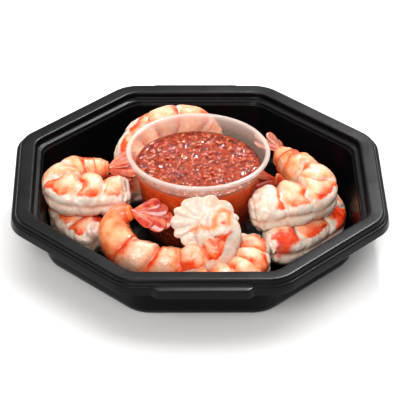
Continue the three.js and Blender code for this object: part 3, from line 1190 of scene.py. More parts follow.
@dataclass(frozen=True)
class Ruff:
    """Where a cut end flares into a frill: a scalloped lens of flesh with traces of skin on its face.

    A trace is a line of places across and up the lens, in millimetres from its middle.
    """

    centre: tuple[float, float, float]
    face: tuple[float, float, float]
    wide: float
    tall: float
    thick: float = 3.6
    scallops: int = 11
    orange_traces: tuple[tuple[tuple[float, float], ...], ...] = ()
    red_traces: tuple[tuple[tuple[float, float], ...], ...] = ()

    def axes(self) -> tuple[Array, Array, Array]:
        """The lens's own directions: across, up and out of its face."""
        out = np.array(self.face) / np.linalg.norm(self.face)
        up = np.array([0.0, 0.0, 1.0])
        up = up - (up @ out) * out
        up /= np.linalg.norm(up)
        return np.cross(up, out), up, out

    def lens(self) -> tuple[Array, list[tuple[int, ...]]]:
        """The frill's closed skin, ribbed like a shell from its middle to its scalloped edge."""
        across, up, out = self.axes()
        angle = np.arange(216) / 216 * TAU
        wave = np.abs(np.sin(self.scallops * angle / 2 + 0.8 * np.sin(2 * angle) + 0.5 * np.sin(5 * angle)))
        rows = []
        shares = np.sin(np.linspace(0.06, 1, 30) * math.pi / 2)
        for face_side in (-1, 1):
            for share in shares if face_side < 0 else shares[::-1]:
                scallop = 1 + 0.12 * share**3 * (wave - 0.5)
                bulk = self.thick / 2 * math.sqrt(max(0.0, 1 - share**2))
                rib = 1.5 * share**1.5 * (1 - share**8) * (wave - 0.5)
                height = face_side * (bulk + 0.3) + rib
                rows.append(
                    np.array(self.centre)
                    + np.outer(self.wide * share * scallop * np.cos(angle), across)
                    + np.outer(self.tall * share * scallop * np.sin(angle), up)
                    + np.outer(height, out)
                )
        rings = np.array(rows)
        return loft(rings, rings[0].mean(axis=0), rings[-1].mean(axis=0))

    def marked(self, points: Array, colour: Array, palette: Palette) -> Array:
        """The colours with the traces of skin laid over them."""
        across, up, out = self.axes()
        off = points - np.array(self.centre)
        flat = np.column_stack([off @ across, off @ up])
        flat += 0.7 * np.column_stack([fractal(points, 2.5, 5), fractal(points, 2.5, 6)])
        front = smoothstep(-3.0, -1.0, off @ out)
        for traces, width, tone in (
            (self.orange_traces, 1.5, palette.orange),
            (self.red_traces, 0.9, palette.vivid),
        ):
            for trace in traces:
                share = np.exp(-((distance_to(flat, trace) / width) ** 2)) * front
                colour = blend(colour, tone, 0.9 * share)
        return colour


def distance_to(points: Array, line: tuple[tuple[float, float], ...]) -> Array:
    """Each flat point's distance to a line of straight stretches."""
    nearest = np.full(len(points), np.inf)
    for start, end in zip(line, line[1:]):
        a, b = np.array(start), np.array(end)
        share = np.clip((points - a) @ (b - a) / ((b - a) @ (b - a)), 0, 1)
        nearest = np.minimum(nearest, np.linalg.norm(points - a - share[:, None] * (b - a), axis=1))
    return nearest


@dataclass(frozen=True)
class Look:
    """How a shrimp is coloured.

    `cut_end` and `shell_start` are places along it, `orange` is the strength of its skin, and
    each blush is a red spot: x, y, z and size in millimetres. A blush is partly the skin's own red
    and partly painted shade where another shrimp lies over this one.
    """

    cut_end: float = 0.62
    shell_start: float = 0.86
    orange: float = 1.0
    bare: float = 0.04
    belly_edge: float = 2.3
    gap: float = 0.13
    cut_half: float = 0.62
    brown_fan: float = 0.0
    blushes_and_shade: tuple[tuple[float, float, float, float], ...] = ()


@dataclass(frozen=True)
class Shrimp:
    """One peeled, tail-on shrimp: a segmented, curled body cut down its back, a tail shell and a fan."""

    node: str
    line: tuple[tuple[float, float, float, float], ...]
    aim: tuple[float, float, float]
    face: tuple[float, float, float]
    seed: int
    look: Look = field(default_factory=Look)
    fan: tuple[Blade, ...] = FULL_FAN
    ruff: Ruff | None = None
    segments: int = 5
    flesh_end: float = 0.84
    dome: float = 2.6
    stations: int = 250
    around: int = 112

    # -- the middle line

    def middle(self, t: Array) -> Array:
        """Place and radius along the line, as a centripetal spline through its points.

        Args:
            t: From 0 at the cut end to 1 at the tail root, in equal steps of length.

        Returns:
            Rows of x, y, z and radius.
        """
        knots = np.array(self.line)
        knots = np.vstack([2 * knots[0] - knots[1], knots, 2 * knots[-1] - knots[-2]])
        gaps = np.sqrt(np.linalg.norm(np.diff(knots[:, :3], axis=0), axis=1))
        rows = []
        for k in range(1, len(knots) - 2):
            p0, p1, p2, p3 = knots[k - 1 : k + 3]
            d0, d1, d2 = gaps[k - 1 : k + 2]
            m1 = ((p1 - p0) / d0 - (p2 - p0) / (d0 + d1) + (p2 - p1) / d1) * d1
            m2 = ((p2 - p1) / d1 - (p3 - p1) / (d1 + d2) + (p3 - p2) / d2) * d1
            s = np.linspace(0, 1, 40, endpoint=False)[:, None]
            rows.append(
                (2 * s**3 - 3 * s**2 + 1) * p1 + (s**3 - 2 * s**2 + s) * m1
                + (3 * s**2 - 2 * s**3) * p2 + (s**3 - s**2) * m2
            )
        fine = np.vstack([*rows, knots[-2:-1]])
        steps = np.linalg.norm(np.diff(fine[:, :3], axis=0), axis=1)
        run = np.concatenate([[0], np.cumsum(steps)])
        return np.column_stack([np.interp(t * run[-1], run, fine[:, c]) for c in range(4)])

    @property
    def length(self) -> float:
        """The middle line's length."""
        places = self.middle(np.linspace(0, 1, 200))[:, :3]
        return float(np.linalg.norm(np.diff(places, axis=0), axis=1).sum())

    def frames(self, t: Array) -> tuple[Array, Array, Array, Array, Array]:
        """Place, radius, forward, back and side directions along the line.

        Args:
            t: Places along the line.

        Returns:
            Five arrays with one row for each t. Back is the way the shrimp's back faces.
        """
        rows = self.middle(t)
        places, radius = rows[:, :3], rows[:, 3]
        forward = np.gradient(places, axis=0)
        forward /= np.linalg.norm(forward, axis=1)[:, None]
        back = places - np.array(self.line)[:, :3].mean(axis=0)
        for _ in range(12):
            back[1:-1] = (back[:-2] + 2 * back[1:-1] + back[2:]) / 4
        back -= (back * forward).sum(axis=1)[:, None] * forward
        back /= np.linalg.norm(back, axis=1)[:, None]
        side = np.cross(forward, back)
        return places, radius, forward, back, side

    # -- the body

    def cut_share(self, t: Array) -> Array:
        """How open the cut down the back is: 1 from the cut end, fading out towards the tail."""
        return 1 - smoothstep(self.look.cut_end - 0.16, self.look.cut_end, t)

    def skin_noise(self, t: Array, angle: Array, around: float, along: float, seed: int) -> Array:
        """Noise laid round the body, with its own fineness around and along it."""
        place = np.stack([around * np.cos(angle), around * np.sin(angle), t * along], axis=-1)
        return noise(place, 1.0, self.seed + seed)

    def segment_at(self, t: Array, angle: Array) -> tuple[Array, Array]:
        """Which segment each place is in, and how far along it, with uneven borders.

        Args:
            t: Places along the line.
            angle: Round the body, 0 down the middle of the back, in radians.

        Returns:
            Segment numbers, and shares from 0 to 1.
        """
        plain = np.clip(t / self.flesh_end, 0, 1) * self.segments
        bent = plain + 0.20 * self.skin_noise(plain, angle, 1.6, 0.9, 31) - 0.10 * np.cos(angle)
        bent = np.clip(bent, 0.0, self.segments - 1e-4)
        return np.floor(bent), bent - np.floor(bent)

    def girth(self, t: Array, angle: Array, radius: Array) -> Array:
        """The distance from the middle line to the skin.

        Args:
            t: Places along the line.
            angle: Round the body, 0 down the middle of the back, in radians.
            radius: The plain radius there.

        Returns:
            The distance, in millimetres.
        """
        turn = np.abs(angle)
        oval = 1.03 * np.cos(angle) ** 2 + 0.94 * np.sin(angle) ** 2
        belly = 1 - 0.07 * smoothstep(2.2, 3.1, turn)
        _, part = self.segment_at(t, angle)
        on_flesh = 1 - smoothstep(self.flesh_end - 0.06, self.flesh_end, t)
        uneven = self.skin_noise(t, angle, 1.3, 14.0, 33)
        swell = np.sin(np.pi * np.clip(part, 0, 1) ** 0.85) ** 0.6
        lobe = (0.30 + 0.55 * bell(turn, 1.4, 0.7) + 1.35 * bell(turn, 2.3, 0.6)) * (1 + 0.5 * uneven)
        hump = 1.75 * swell * lobe * on_flesh
        nearest = np.minimum(part, 1 - part)
        fold_weight = (0.25 + 0.75 * smoothstep(0.5, 1.3, turn)) * on_flesh * smoothstep(0.05, 0.12, t)
        fold = 1.05 * np.exp(-((nearest / 0.08) ** 2)) * fold_weight * (1 + 0.6 * uneven)
        open_cut = self.cut_share(t)
        wander = 0.12 * noise(np.stack([t * 16, t * 0, t * 0], axis=-1), 1.0, self.seed + 35)
        torn = self.skin_noise(t, angle, 2.4, 45.0, 39)
        slit = (0.9 + 0.9 * uneven + 0.4 * torn) * bell(angle, wander, 0.15) * open_cut
        lips = (0.45 + 0.5 * uneven + 0.45 * torn) * bell(turn, 0.42, 0.26) * open_cut
        end_round = 1 - 0.18 * np.exp(-((np.maximum(t, 0) / 0.014) ** 1.5))
        frill = 2.1 * np.exp(-np.maximum(t, 0) / 0.05) * self.skin_noise(t, angle, 2.6, 40.0, 37)
        return radius * oval * belly * end_round + hump - fold - slit + lips + frill

    def body_rings(self) -> tuple[Array, Array, Array]:
        """The body's skin as rings, with where each point is along and around the body.

        Returns:
            Points, places along and angles around, ring by ring.
        """
        t = np.linspace(0, 1, self.stations)
        places, radius, forward, back, side = self.frames(t)
        angle = (np.arange(self.around) + 0.5) / self.around * TAU - math.pi
        grid_t = np.repeat(t[:, None], self.around, axis=1)
        grid_a = np.repeat(angle[None, :], self.stations, axis=0)
        reach = self.girth(grid_t, grid_a, radius[:, None])
        rings = tube(places[:, None], back, side, reach, grid_a)
        cap_rows = 10
        caps, cap_t, cap_a = [], [], []
        for k in range(cap_rows):
            share = math.sin((k + 1) / (cap_rows + 1) * math.pi / 2)
            dome = self.dome * (1 - math.cos(math.asin(share)))
            ring = places[0] + (rings[0] - places[0]) * share
            caps.append(ring - forward[0] * (self.dome - dome - 0.4 * self.dome * (1 - share) ** 2))
            cap_t.append(np.full(self.around, -0.02 * (1 - share)))
            cap_a.append(angle)
        rings = np.concatenate([np.array(caps), rings])
        return rings, np.concatenate([np.array(cap_t), grid_t]), np.concatenate([np.array(cap_a), grid_a])

    def body(self) -> tuple[Array, list, Array, Array]:
        """The closed body: points, faces, and each point's place along and around."""
        rings, along, angle = self.body_rings()
        poles = rings[0].mean(axis=0), rings[-1].mean(axis=0)
        points, faces = loft(rings, *poles)
        along = np.concatenate([along.ravel(), [-0.02, 1.0]])
        angle = np.concatenate([angle.ravel(), [0.0, 0.0]])
        return points, faces, along, angle

    def fused(self) -> tuple[bpy.types.Object, Array, Array]:
        """The body with its frill grown into one skin.

        Returns:
            The object, and each vertex's place along and around the body.
        """
        points, faces, along, angle = self.body()
        piece = make_object(f"{self.node}_flesh", points, faces)
        if self.ruff is None:
            return piece, along, angle
        lens_points, lens_faces = self.ruff.lens()
        shift = len(points)
        joined_faces = faces + [tuple(c + shift for c in face) for face in lens_faces]
        joined = make_object("joined", np.vstack([points, lens_points]), joined_faces)
        remesh = joined.modifiers.new("fuse", "REMESH")
        remesh.mode = "VOXEL"
        remesh.voxel_size = 0.38 * MM
        smooth = joined.modifiers.new("ease", "SMOOTH")
        smooth.factor, smooth.iterations = 0.5, 1
        evaluated = joined.evaluated_get(bpy.context.evaluated_depsgraph_get())
        mesh = bpy.data.meshes.new_from_object(evaluated)
        mesh.shade_smooth()
        piece.data = mesh
        bpy.data.objects.remove(joined)
        return piece, *self.look_up(corners_of(piece), points, along, angle, lens_points)

    @staticmethod
    def look_up(where: Array, points: Array, along: Array, angle: Array, lens: Array) -> tuple[Array, Array]:
        """Where each new vertex is along and around the body, from the nearest old point.

        Args:
            where: The new vertices.
            points: The body's old points.
            along: Their places along the body.
            angle: Their angles around it.
            lens: The frill's old points, which count as the cut end.

        Returns:
            Places along and angles around.
        """
        stock = np.vstack([points, lens])
        tree = KDTree(len(stock))
        for k, place in enumerate(stock):
            tree.insert(place, k)
        tree.balance()
        nearest = np.array([tree.find(place)[1] for place in where])
        all_along = np.concatenate([along, np.full(len(lens), -0.03)])
        all_angle = np.concatenate([angle, np.zeros(len(lens))])
        return all_along[nearest], all_angle[nearest]

    # -- colour

    def paint(self, points: Array, t: Array, angle: Array) -> tuple[Array, Array]:
        """Each vertex's colour, and how much coloured skin covers it.

        The flesh is white. Orange skin covers the sides of each segment, and is reddest along
        the cut down the back and at each segment's rear. Past the cut it covers the back too.
        A paler cream in the middle of the patches is a painted highlight. Orange in the folds
        between segments is painted shade, and the red spots are partly painted shade.

        Args:
            points: Places in millimetres.
            t: Places along the body.
            angle: Angles around it.

        Returns:
            Colours and skin shares.
        """
        palette = Palette()
        turn = np.abs(angle)
        radius = self.middle(np.clip(t, 0, 1))[:, 3]
        segment, part = self.segment_at(t, angle)
        step = self.length * self.flesh_end / self.segments
        warp = 2.0 * fractal(points, 4.5, self.seed) + 0.7 * fractal(points, 1.3, self.seed + 1)
        lengthwise = np.minimum(part - self.look.gap, 1.02 - self.look.gap / 2 - part) * step
        cut_edge = self.look.cut_half * self.cut_share(t) - 0.6 * (1 - self.cut_share(t))
        from_cut = (turn - cut_edge) * radius
        edge_turn = self.look.belly_edge + (3.4 - self.look.belly_edge) * smoothstep(0.5, 0.8, t)
        from_belly = (edge_turn - turn) * radius
        depth = np.minimum(np.minimum(lengthwise + 0.8, from_cut), from_belly) + warp
        skin = smoothstep(-0.4, 1.6, depth)
        skin *= smoothstep(self.look.bare, self.look.bare + 0.05, t + 0.012 * warp)
        cell = np.stack([segment, np.sign(angle), np.zeros_like(t)], axis=-1)
        strength = 0.45 + 0.55 * lattice(cell.astype(np.int64), self.seed)
        strength = np.minimum(np.maximum(strength, smoothstep(0.55, 0.8, t)) * self.look.orange, 1)
        patchy = np.clip(0.55 + 1.1 * fractal(points, 6.0, self.seed + 8), 0.05, 1.3)
        ragged_cut = from_cut + 0.6 * warp
        cut_rim = np.exp(-np.maximum(ragged_cut - 0.6, 0) / 1.9)
        vivid = cut_rim * smoothstep(-0.4, 0.5, ragged_cut) * smoothstep(0.0, 2.0, lengthwise + warp)
        vivid *= smoothstep(0.02, 0.3, self.cut_share(t))
        behind = (1.02 - self.look.gap / 2 - part) * step + 0.8 * warp
        rear = np.exp(-np.maximum(behind - 0.5, 0) / 1.7) * smoothstep(-0.3, 0.6, behind)
        rear *= smoothstep(0.0, 2.5, from_cut) * smoothstep(0.0, 3.0, from_belly) * 0.75
        mottle = smoothstep(-0.1, 0.6, fractal(points, 5.5, self.seed + 4))
        stain = smoothstep(0.0, 0.5, fractal(points, 7.5, self.seed + 17))
        colour = blend(filled(palette.white, len(points)), palette.cream, 0.7 * mottle)
        colour = blend(colour, palette.beige, 0.45 * stain)
        colour = blend(colour, palette.belly, 0.5 * smoothstep(2.0, 2.9, turn) * smoothstep(0, 0.1, t))
        colour = blend(colour, palette.peach, 0.9 * skin * (0.6 + 0.4 * strength))
        rim = np.exp(-np.maximum(depth, 0) / 2.2)
        share = 0.08 + 0.35 * mottle + 0.75 * rim + 0.5 * smoothstep(0.55, 0.9, t)
        deeper = np.clip(skin * strength * share, 0, 1)
        colour = blend(colour, palette.orange, deeper)
        # Painted highlight: a paler cream in the middle of each skin patch on the body.
        colour = blend(colour, palette.cream, 0.55 * smoothstep(1.8, 4.5, depth) * (1 - mottle) * (t < 0.7))
        edge = np.maximum(vivid, rear) * (0.35 + 0.65 * strength) * np.minimum(3 * skin, 1)
        edge = np.clip(edge * 2.8 * patchy, 0, 1)
        colour = blend(colour, palette.orange, np.clip(1.6 * edge, 0, 1))
        colour = blend(colour, palette.vivid, 0.95 * edge)
        colour = blend(colour, palette.deep, 0.55 * edge**3 * smoothstep(0.0, 0.5, -warp))
        fibre = 1 - np.abs(fractal(points * np.array([1.0, 1.0, 1.6]), 5.0, self.seed + 16)) * 9
        colour = blend(colour, palette.pink, 0.4 * np.clip(fibre, 0, 1) * (1 - skin))
        slit = bell(turn, 0, 0.14) * self.cut_share(t) * smoothstep(0.0, 0.05, t)
        colour = blend(colour, palette.vein, 0.35 * slit)
        # Painted shade: orange in the folds between segments, where shade falls.
        crease_shade = np.exp(-((np.minimum(part, 1 - part) / 0.05) ** 2)) * smoothstep(1.2, 2.0, turn)
        colour = blend(colour, palette.orange, 0.35 * crease_shade * smoothstep(0.1, 0.3, t))
        colour = blend(colour, palette.orange, 0.9 * smoothstep(0.86, 0.95, t))
        crumple = fractal(points, 3.0, self.seed + 12)
        # Red spots, partly the skin's own red and partly painted shade where another shrimp lies over this
        # one; the deep red where the crumple noise is high is painted shade.
        for *place, size in self.look.blushes_and_shade:
            away = np.linalg.norm(points - np.array(place), axis=1) / size
            away += 0.8 * fractal(points, 6.0, self.seed + 14)
            share = smoothstep(1.05, 0.6, away)
            colour = blend(colour, palette.vivid, 0.95 * share)
            colour = blend(colour, palette.deep, 0.7 * share * smoothstep(-0.1, 0.4, crumple))
            skin = np.maximum(skin, share)
        if self.ruff is not None:
            colour = self.ruff.marked(points, colour, palette)
        return colour, np.clip(skin * (0.4 + 0.6 * strength), 0, 1)

    # -- the tail

    def shell(self) -> bpy.types.Object:
        """The shell left on the last segment: a thin glossy sleeve that ends under the fan."""
        start = self.look.shell_start
        t = np.linspace(start, 0.99, 60)
        places, radius, _, back, side = self.frames(t)
        angle = (np.arange(80) + 0.5) / 80 * TAU - math.pi
        grid_t = np.repeat(t[:, None], 80, axis=1)
        grid_a = np.repeat(angle[None, :], 60, axis=0)
        share = (grid_t - start) / (0.99 - start)
        lift = 0.50 + 0.25 * bell(share, 0.04, 0.05) + 0.3 * bell(share, 0.55, 0.1)
        tuck = 1.6 * (1 - smoothstep(0, 0.03, share)) + 1.6 * smoothstep(0.96, 1.0, share)
        reach = self.girth(grid_t, grid_a, radius[:, None]) + lift - tuck
        scoop = 0.012 * np.cos(grid_a)
        slide = (scoop * self.length * (1 - share))[..., None] * np.gradient(places, axis=0)[:, None]
        rings = tube(places[:, None] - slide, back, side, reach, grid_a)
        points, faces = loft(rings, places[0], places[-1])
        piece = make_object(f"{self.node}_shell", points, faces)
        palette = Palette()
        flat_share = np.concatenate([share.ravel(), [0.0, 1.0]])
        streak = fractal(points, 5.0, self.seed + 9)
        pale = 0.68 * smoothstep(-0.5, 0.3, streak)
        colour = blend(filled(palette.orange, len(points)), palette.peach, pale)
        rim = 0.8 * bell(flat_share, 0.02, 0.07) + 0.8 * smoothstep(0.6, 1.0, flat_share)
        colour = blend(colour, palette.vivid, np.clip(rim + smoothstep(0.1, 0.6, -streak) * 0.4, 0, 1))
        flat_angle = np.concatenate([np.abs(grid_a).ravel(), [0.0, 0.0]])
        ridge = bell(flat_angle, 0.42 + 0.1 * streak, 0.10) + 0.8 * bell(flat_angle, 0.0, 0.12)
        colour = blend(colour, palette.vivid, 0.9 * np.clip(ridge, 0, 1))
        set_colour(piece, "tint", colour)
        set_number(piece, "skin", np.full(len(points), 0.8))
        return piece

    def blade_rings(self, blade: Blade) -> tuple[Array, Array]:
        """One blade in the fan's plane: rings across it from root to tip.

        Args:
            blade: Its place and size.

        Returns:
            Points ring by ring, and how far each is from the blade's middle rib, from 0 to 1.
        """
        rows, around = 44, 40
        u = np.linspace(0, 1, rows)[:, None]
        around_angle = np.arange(around) / around * TAU
        half = blade.width / 2 * (0.26 + 0.74 * smoothstep(0.0, 0.85, u))
        half = half * np.sqrt(1 - np.clip((u - 0.72) / 0.281, 0, 1) ** 3.2)
        across = np.sin(around_angle)[None, :] * half
        body = 0.62 * (1 - 0.45 * u)
        ribs = 0.10 * np.cos(across * 5.2) + 0.22 * np.exp(-((across / 0.5) ** 2))
        height = np.cos(around_angle)[None, :] * (body + ribs * (1 - u))
        camber = -0.05 * across**2 + 0.9 * u**2
        rings = np.stack([
            np.repeat(-4.0 + (blade.length + 4.0) * u, around, axis=1),
            across,
            height + camber,
        ], axis=-1)
        return rings, np.abs(np.sin(around_angle))[None, :] * np.ones_like(u)

    def tail_fan(self) -> bpy.types.Object:
        """The fan of blades as one piece."""
        root = np.array(self.line[-1][:3])
        forward = np.array(self.aim) / np.linalg.norm(self.aim)
        up = np.array(self.face, dtype=float)
        up -= (up @ forward) * forward
        up /= np.linalg.norm(up)
        across = np.cross(up, forward)
        basis = np.column_stack([forward, across, up])
        palette = Palette()
        points, faces, colours = [], [], []
        count = 0
        for order, blade in enumerate(self.fan):
            rings, off_rib = self.blade_rings(blade)
            tilt = Matrix.Rotation(math.radians(blade.yaw), 3, "Z") @ Matrix.Rotation(
                math.radians(-blade.pitch), 3, "Y"
            )
            turned = rings @ np.array(tilt).T + np.array([0, 0, 0.22 * order])
            placed = turned @ basis.T + root
            part, part_faces = loft(placed, placed[0].mean(axis=0), placed[-1].mean(axis=0))
            u = np.repeat(np.linspace(0, 1, len(rings)), rings.shape[1])
            u = np.concatenate([u, [0.0, 1.0]])
            rib = np.concatenate([off_rib.ravel(), [0.0, 0.0]])
            streak = fractal(part, 3.0, self.seed + order)
            glow = 0.55 * smoothstep(-0.2, 0.6, streak)
            dark = 0.7 * smoothstep(0.35, 0.75, u) * smoothstep(0.3, -0.4, streak)
            colour = blend(filled(palette.coral, len(part)), palette.orange, glow)
            colour = blend(colour, palette.deep, dark)
            colour = blend(colour, palette.pink, 0.5 * smoothstep(0.9, 1.0, rib) * smoothstep(0.1, 0.4, u))
            colour = blend(colour, palette.brown, np.full(len(part), self.look.brown_fan))
            points.append(part)
            colours.append(colour)
            faces += [tuple(c + count for c in face) for face in part_faces]
            count += len(part)
        piece = make_object(f"{self.node}_fan", np.vstack(points), faces)
        set_colour(piece, "tint", np.vstack(colours))
        set_number(piece, "skin", np.ones(count))
        return piece


SHRIMP = (
    Shrimp(
        "shrimp_front",
        (
            (1, -41, 31.5, 8.5), (10, -43, 27.5, 9.5), (8, -47.5, 19, 9.4), (-5, -50, 12, 9),
            (-23, -47.5, 10.8, 9), (-38, -41.5, 15, 9), (-43, -32.5, 20.5, 8),
            (-40, -28.5, 27, 5.8), (-34.5, -29, 29.5, 3.6),
        ),
        aim=(1, -0.1, -0.08),
        face=(0, -0.6, 0.8),
        seed=3,
        look=Look(cut_end=0.55, shell_start=0.72, bare=0.10, belly_edge=2.9, gap=0.04, cut_half=1.2),
        fan=(
            Blade(26, 4, 15.5, 7.2), Blade(12, 2, 18.5, 8.0), Blade(-6, -1, 21.5, 10.6),
            Blade(-19, 1, 19.0, 9.0), Blade(-31, 4, 13, 6.0),
        ),
        flesh_end=0.72,
        ruff=Ruff(
            (2, -41.3, 31.5), (0, -0.86, 0.5), 16.5, 13.4,
            orange_traces=(
                ((4.6, -0.8), (5.6, 4.3), (8.7, 6.3), (12.2, 4.8), (11.7, 0.2)),
                ((-6.4, -3.8), (-2.4, -1.8), (2.6, -2.8), (5.6, -0.8)),
            ),
            red_traces=(
                ((2.1, -8.3), (5.1, -10.3), (9.2, -7.3), (12.7, -4.3)),
                ((-11.9, -20.4), (-6.4, -19.9)),
                ((8.4, 0.4), (9.2, 0.2)),
            ),
        ),
    ),
    Shrimp(
        "shrimp_left_top",
        (
            (-37.5, -11, 27, 8), (-53, -12.5, 28, 9), (-67, -11.5, 28, 9.5), (-71.5, 0, 28, 9),
            (-64, 10.5, 28, 8), (-53, 13.5, 28.5, 5.8), (-47, 13.5, 29, 3.6),
        ),
        aim=(1, 0.05, 0.08),
        face=(0.05, -0.38, 0.92),
        seed=11,
        look=Look(cut_end=0.60, shell_start=0.90, orange=1.1, bare=0.02, brown_fan=0.3),
    ),
    Shrimp(
        "shrimp_left_low",
        (
            (-54, -27, 11, 8), (-61, -19, 10.6, 8.8), (-67.5, -7, 10.6, 8.8), (-69, 6, 10.6, 8.8),
            (-63.5, 17.5, 10.3, 8), (-54, 22.5, 10, 5.8), (-48, 22.5, 10, 3.6),
        ),
        aim=(0.574, 0.819, -0.087),
        face=(0, 0.3, 0.95),
        seed=17,
        look=Look(
            cut_end=0.55, orange=1.6, bare=0.02,
            # Red spots, partly painted shade where the shrimp above lies over this one.
            blushes_and_shade=((-64, -12, 18, 7), (-53, -21, 17, 5), (-71, -2, 18, 6)),
        ),
    ),
    Shrimp(
        "shrimp_right_top",
        (
            (27.2, -23.4, 25.5, 9), (38.4, -22, 27, 9.5), (50.7, -19.6, 28, 9.5), (59.4, -15.5, 29, 9.3),
            (61.3, -6.5, 29.8, 9), (54.8, 6, 30.3, 8.5), (48.8, 14, 30.8, 7.8), (45, 20.5, 31.3, 5.8),
            (43.2, 25.5, 31.8, 3.6),
        ),
        aim=(-0.62, 0.77, 0.12),
        face=(0.3, 0.1, 0.95),
        seed=29,
        look=Look(cut_end=0.62, shell_start=0.88, orange=1.1, bare=0.14, brown_fan=0.6),
    ),
    Shrimp(
        "shrimp_right_low",
        (
            (34, -34, 13, 8.5), (43, -32, 12, 9.3), (56.5, -20.5, 11.2, 9.5), (67, -5, 11, 9.2),
            (60.5, 16, 10.5, 8), (47, 26, 12, 5.8), (41, 27.5, 13, 3.6),
        ),
        aim=(-1, -0.35, 0.2),
        face=(0.2, -0.3, 0.93),
        seed=37,
        look=Look(
            cut_end=0.58, shell_start=0.84, orange=1.5, bare=0.01,
            # Red spots, partly painted shade where the shrimp above lies over this one.
            blushes_and_shade=((42.2, -38.5, 18, 8), (72, -12, 17, 8)),
        ),
    ),
    Shrimp(
        "shrimp_front_right",
        (
            (22, -34.5, 14, 8.5), (25.5, -43.5, 12, 9), (23.5, -56, 10.8, 9), (13, -65, 10, 8.5),
            (-1, -69, 9, 7.4), (-11, -69, 7.6, 5.4), (-17, -68.5, 7, 3.4),
        ),
        aim=(-1, 0.08, -0.04),
        face=(0, 0.25, 0.97),
        seed=41,
        look=Look(cut_end=0.4, orange=1.3, bare=0.02, gap=0.05),
    ),
    Shrimp(
        "shrimp_back",
        (
            (-32.5, 18.5, 7, 8), (-35.5, 26.5, 20, 8), (-33.5, 36, 28.5, 8.2), (-24, 45, 34, 8.2),
            (-11, 50, 35.5, 8.2), (1, 52, 32.5, 7.6), (7.5, 51, 26.5, 5.8), (10.5, 50, 21, 3.6),
        ),
        aim=(0.35, -0.05, -0.93),
        face=(0.1, -0.98, 0.1),
        seed=53,
        look=Look(cut_end=0.58, orange=1.2, gap=0.08),
    ),
)


@dataclass
class ShrimpRing:
    """All the shrimp round the cup, each settled clear of the tray, the cup and those already in place."""

    tray: Tray
    cup: SauceCup
    gap: float = 0.15
    reach: float = 9.0
    rounds: int = 3

    def clear(self, piece: bpy.types.Object, placed: list[BVHTree]) -> None:
        """Moves what lies inside the tray, the cup or a placed shrimp just out of it.

        Args:
            piece: The piece to settle.
            placed: Search trees of the shrimp already in place.
        """
        points = corners_of(piece)
        for _ in range(self.rounds):
            for tree in placed:
                for k, point in enumerate(points * MM):
                    spot, normal, _, _ = tree.find_nearest(point, self.reach * MM)
                    if spot is None:
                        continue
                    over = (Vector(point) - spot).dot(normal) - self.gap * MM
                    if over < 0:
                        points[k] = np.array(spot + normal * self.gap * MM) / MM
            points = self.cup.keep_outside(points, self.gap)
            points = self.tray.keep_inside(points, self.gap)
        move_corners(piece, points)

    def build(self) -> None:
        """Builds every shrimp, in the order in which they give way to each other."""
        flesh = ShrimpFinish("shrimp_flesh_wet").material()
        shell = ShrimpFinish(
            "shrimp_tail_shell", dot_share=0.12, roughness=0.25, relief=0.12, subsurface=0.2, coat=0.9
        ).material()
        placed: list[BVHTree] = []
        tails: list[tuple[bpy.types.Object, int]] = []
        for shrimp in SHRIMP:
            body, along, angle = shrimp.fused()
            points = corners_of(body)
            colour, skin = shrimp.paint(points, along, angle)
            fold_depth = 0.22 + 0.25 * bell(along, 0.03, 0.05)
            wrinkles = fold_depth * fractal(points, 2.6, shrimp.seed + 20)
            wrinkles += 0.12 * fractal(points, 1.1, shrimp.seed + 21)
            normals = np.array([v.normal for v in body.data.vertices])
            move_corners(body, points + normals * (wrinkles + 0.16 * skin)[:, None])
            set_colour(body, "tint", colour)
            set_number(body, "skin", skin)
            self.clear(body, placed)
            dress(body, flesh)
            settle(body, "shrimp_flesh", shrimp.node)
            for part in (shrimp.shell(), shrimp.tail_fan()):
                self.clear(part, placed)
                dress(part, shell)
                settle(part, "shrimp_flesh")
                tails.append((part, len(placed) + 1))
            corners = [v.co.copy() for v in body.data.vertices]
            placed.append(BVHTree.FromPolygons(corners, [tuple(p.vertices) for p in body.data.polygons]))
        for part, later in tails:
            self.clear(part, placed[later:])


# ---------------------------------------------------------------- stage


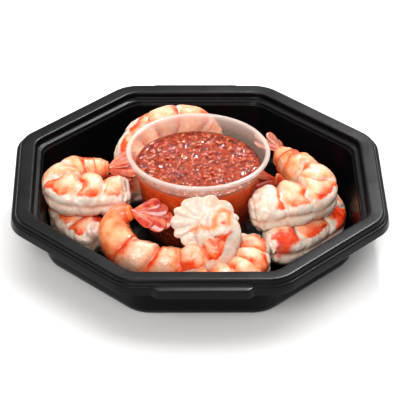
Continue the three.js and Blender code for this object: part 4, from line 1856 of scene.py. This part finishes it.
@dataclass(frozen=True)
class Studio:
    """The pale floor, the soft lights and the camera."""

    azimuth: float = -1.616
    elevation: float = 33.06
    roll: float = 0.837
    distance: float = 1216.2
    aim_height: float = 18.08
    lens: float = 210.66
    sensor: float = 36.0
    shift: tuple[float, float] = (0.003, 0.0)
    floor_half: float = 4000.0
    air_light: float = 0.42

    def camera(self) -> None:
        """A camera that looks down on the tray from in front."""
        az, el, roll = (math.radians(k) for k in (self.azimuth, self.elevation, self.roll))
        back = Vector((math.sin(az) * math.cos(el), -math.cos(az) * math.cos(el), math.sin(el)))
        right = (-back).cross(Vector((0, 0, 1))).normalized()
        up = right.cross(-back)
        turned_right = right * math.cos(roll) + up * math.sin(roll)
        turned_up = up * math.cos(roll) - right * math.sin(roll)
        pose = Matrix((turned_right, turned_up, back)).transposed().to_4x4()
        pose.translation = (Vector((0, 0, self.aim_height)) + back * self.distance) * MM
        data = bpy.data.cameras.new("camera")
        data.lens, data.sensor_width = self.lens, self.sensor
        data.shift_x, data.shift_y = self.shift
        data.clip_start, data.clip_end = 0.05, 20
        camera = bpy.data.objects.new("camera", data)
        camera.matrix_world = pose
        bpy.context.scene.collection.objects.link(camera)
        bpy.context.scene.camera = camera

    def light(self, name: str, place: tuple, size: tuple, power: float, colour: Colour) -> None:
        """A soft rectangular light that faces the tray.

        Args:
            name: The light's name.
            place: Where it is, in metres.
            size: Its width and height, in metres.
            power: In watts.
            colour: Its tint.
        """
        data = bpy.data.lights.new(name, "AREA")
        data.shape, data.size, data.size_y = "RECTANGLE", *size
        data.energy, data.color = power, colour
        lamp = bpy.data.objects.new(name, data)
        lamp.location = place
        lamp.rotation_mode = "QUATERNION"
        lamp.rotation_quaternion = (-Vector(place)).to_track_quat("-Z", "Y")
        bpy.context.scene.collection.objects.link(lamp)

    def build(self) -> None:
        """The floor, the lights, the surrounding light and the camera."""
        self.camera()
        half = self.floor_half
        points = np.array([(-half, -half, 0), (half, -half, 0), (half, half, 0), (-half, half, 0)])
        floor = make_object("floor", points, [(0, 1, 2, 3)])
        dress(floor, FloorFinish().material())
        self.light("overhead", (0.15, 0.5, 1.4), (2.0, 1.4), 16, (1.0, 0.99, 0.97))
        self.light("front_left", (-0.45, -1.4, 1.1), (0.9, 0.9), 19, (1.0, 0.97, 0.94))
        self.light("kicker", (0.25, 0.95, 1.0), (0.14, 0.14), 8, (1.0, 1.0, 1.0))
        world = bpy.data.worlds.new("studio_air")
        world.use_nodes = True
        world.node_tree.nodes["Background"].inputs[0].default_value = (1.0, 1.0, 1.0, 1.0)
        world.node_tree.nodes["Background"].inputs[1].default_value = self.air_light
        bpy.context.scene.world = world
        bpy.context.scene.view_settings.view_transform = "Standard"
        bpy.context.scene.view_settings.look = "Medium High Contrast"


def main() -> None:
    """Builds the whole object on its frame."""
    logging.basicConfig(level=logging.INFO, format="%(name)s %(message)s")
    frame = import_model()
    LOG.info("frame: %d nodes", len(frame["nodes"]))
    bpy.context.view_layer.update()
    Studio().build()
    tray = Tray.from_frame()
    tray.build()
    cup = SauceCup.from_frame()
    cup.build()
    Sauce.from_frame(cup).build()
    ShrimpRing(tray, cup).build()


if __name__ == "__main__":
    main()
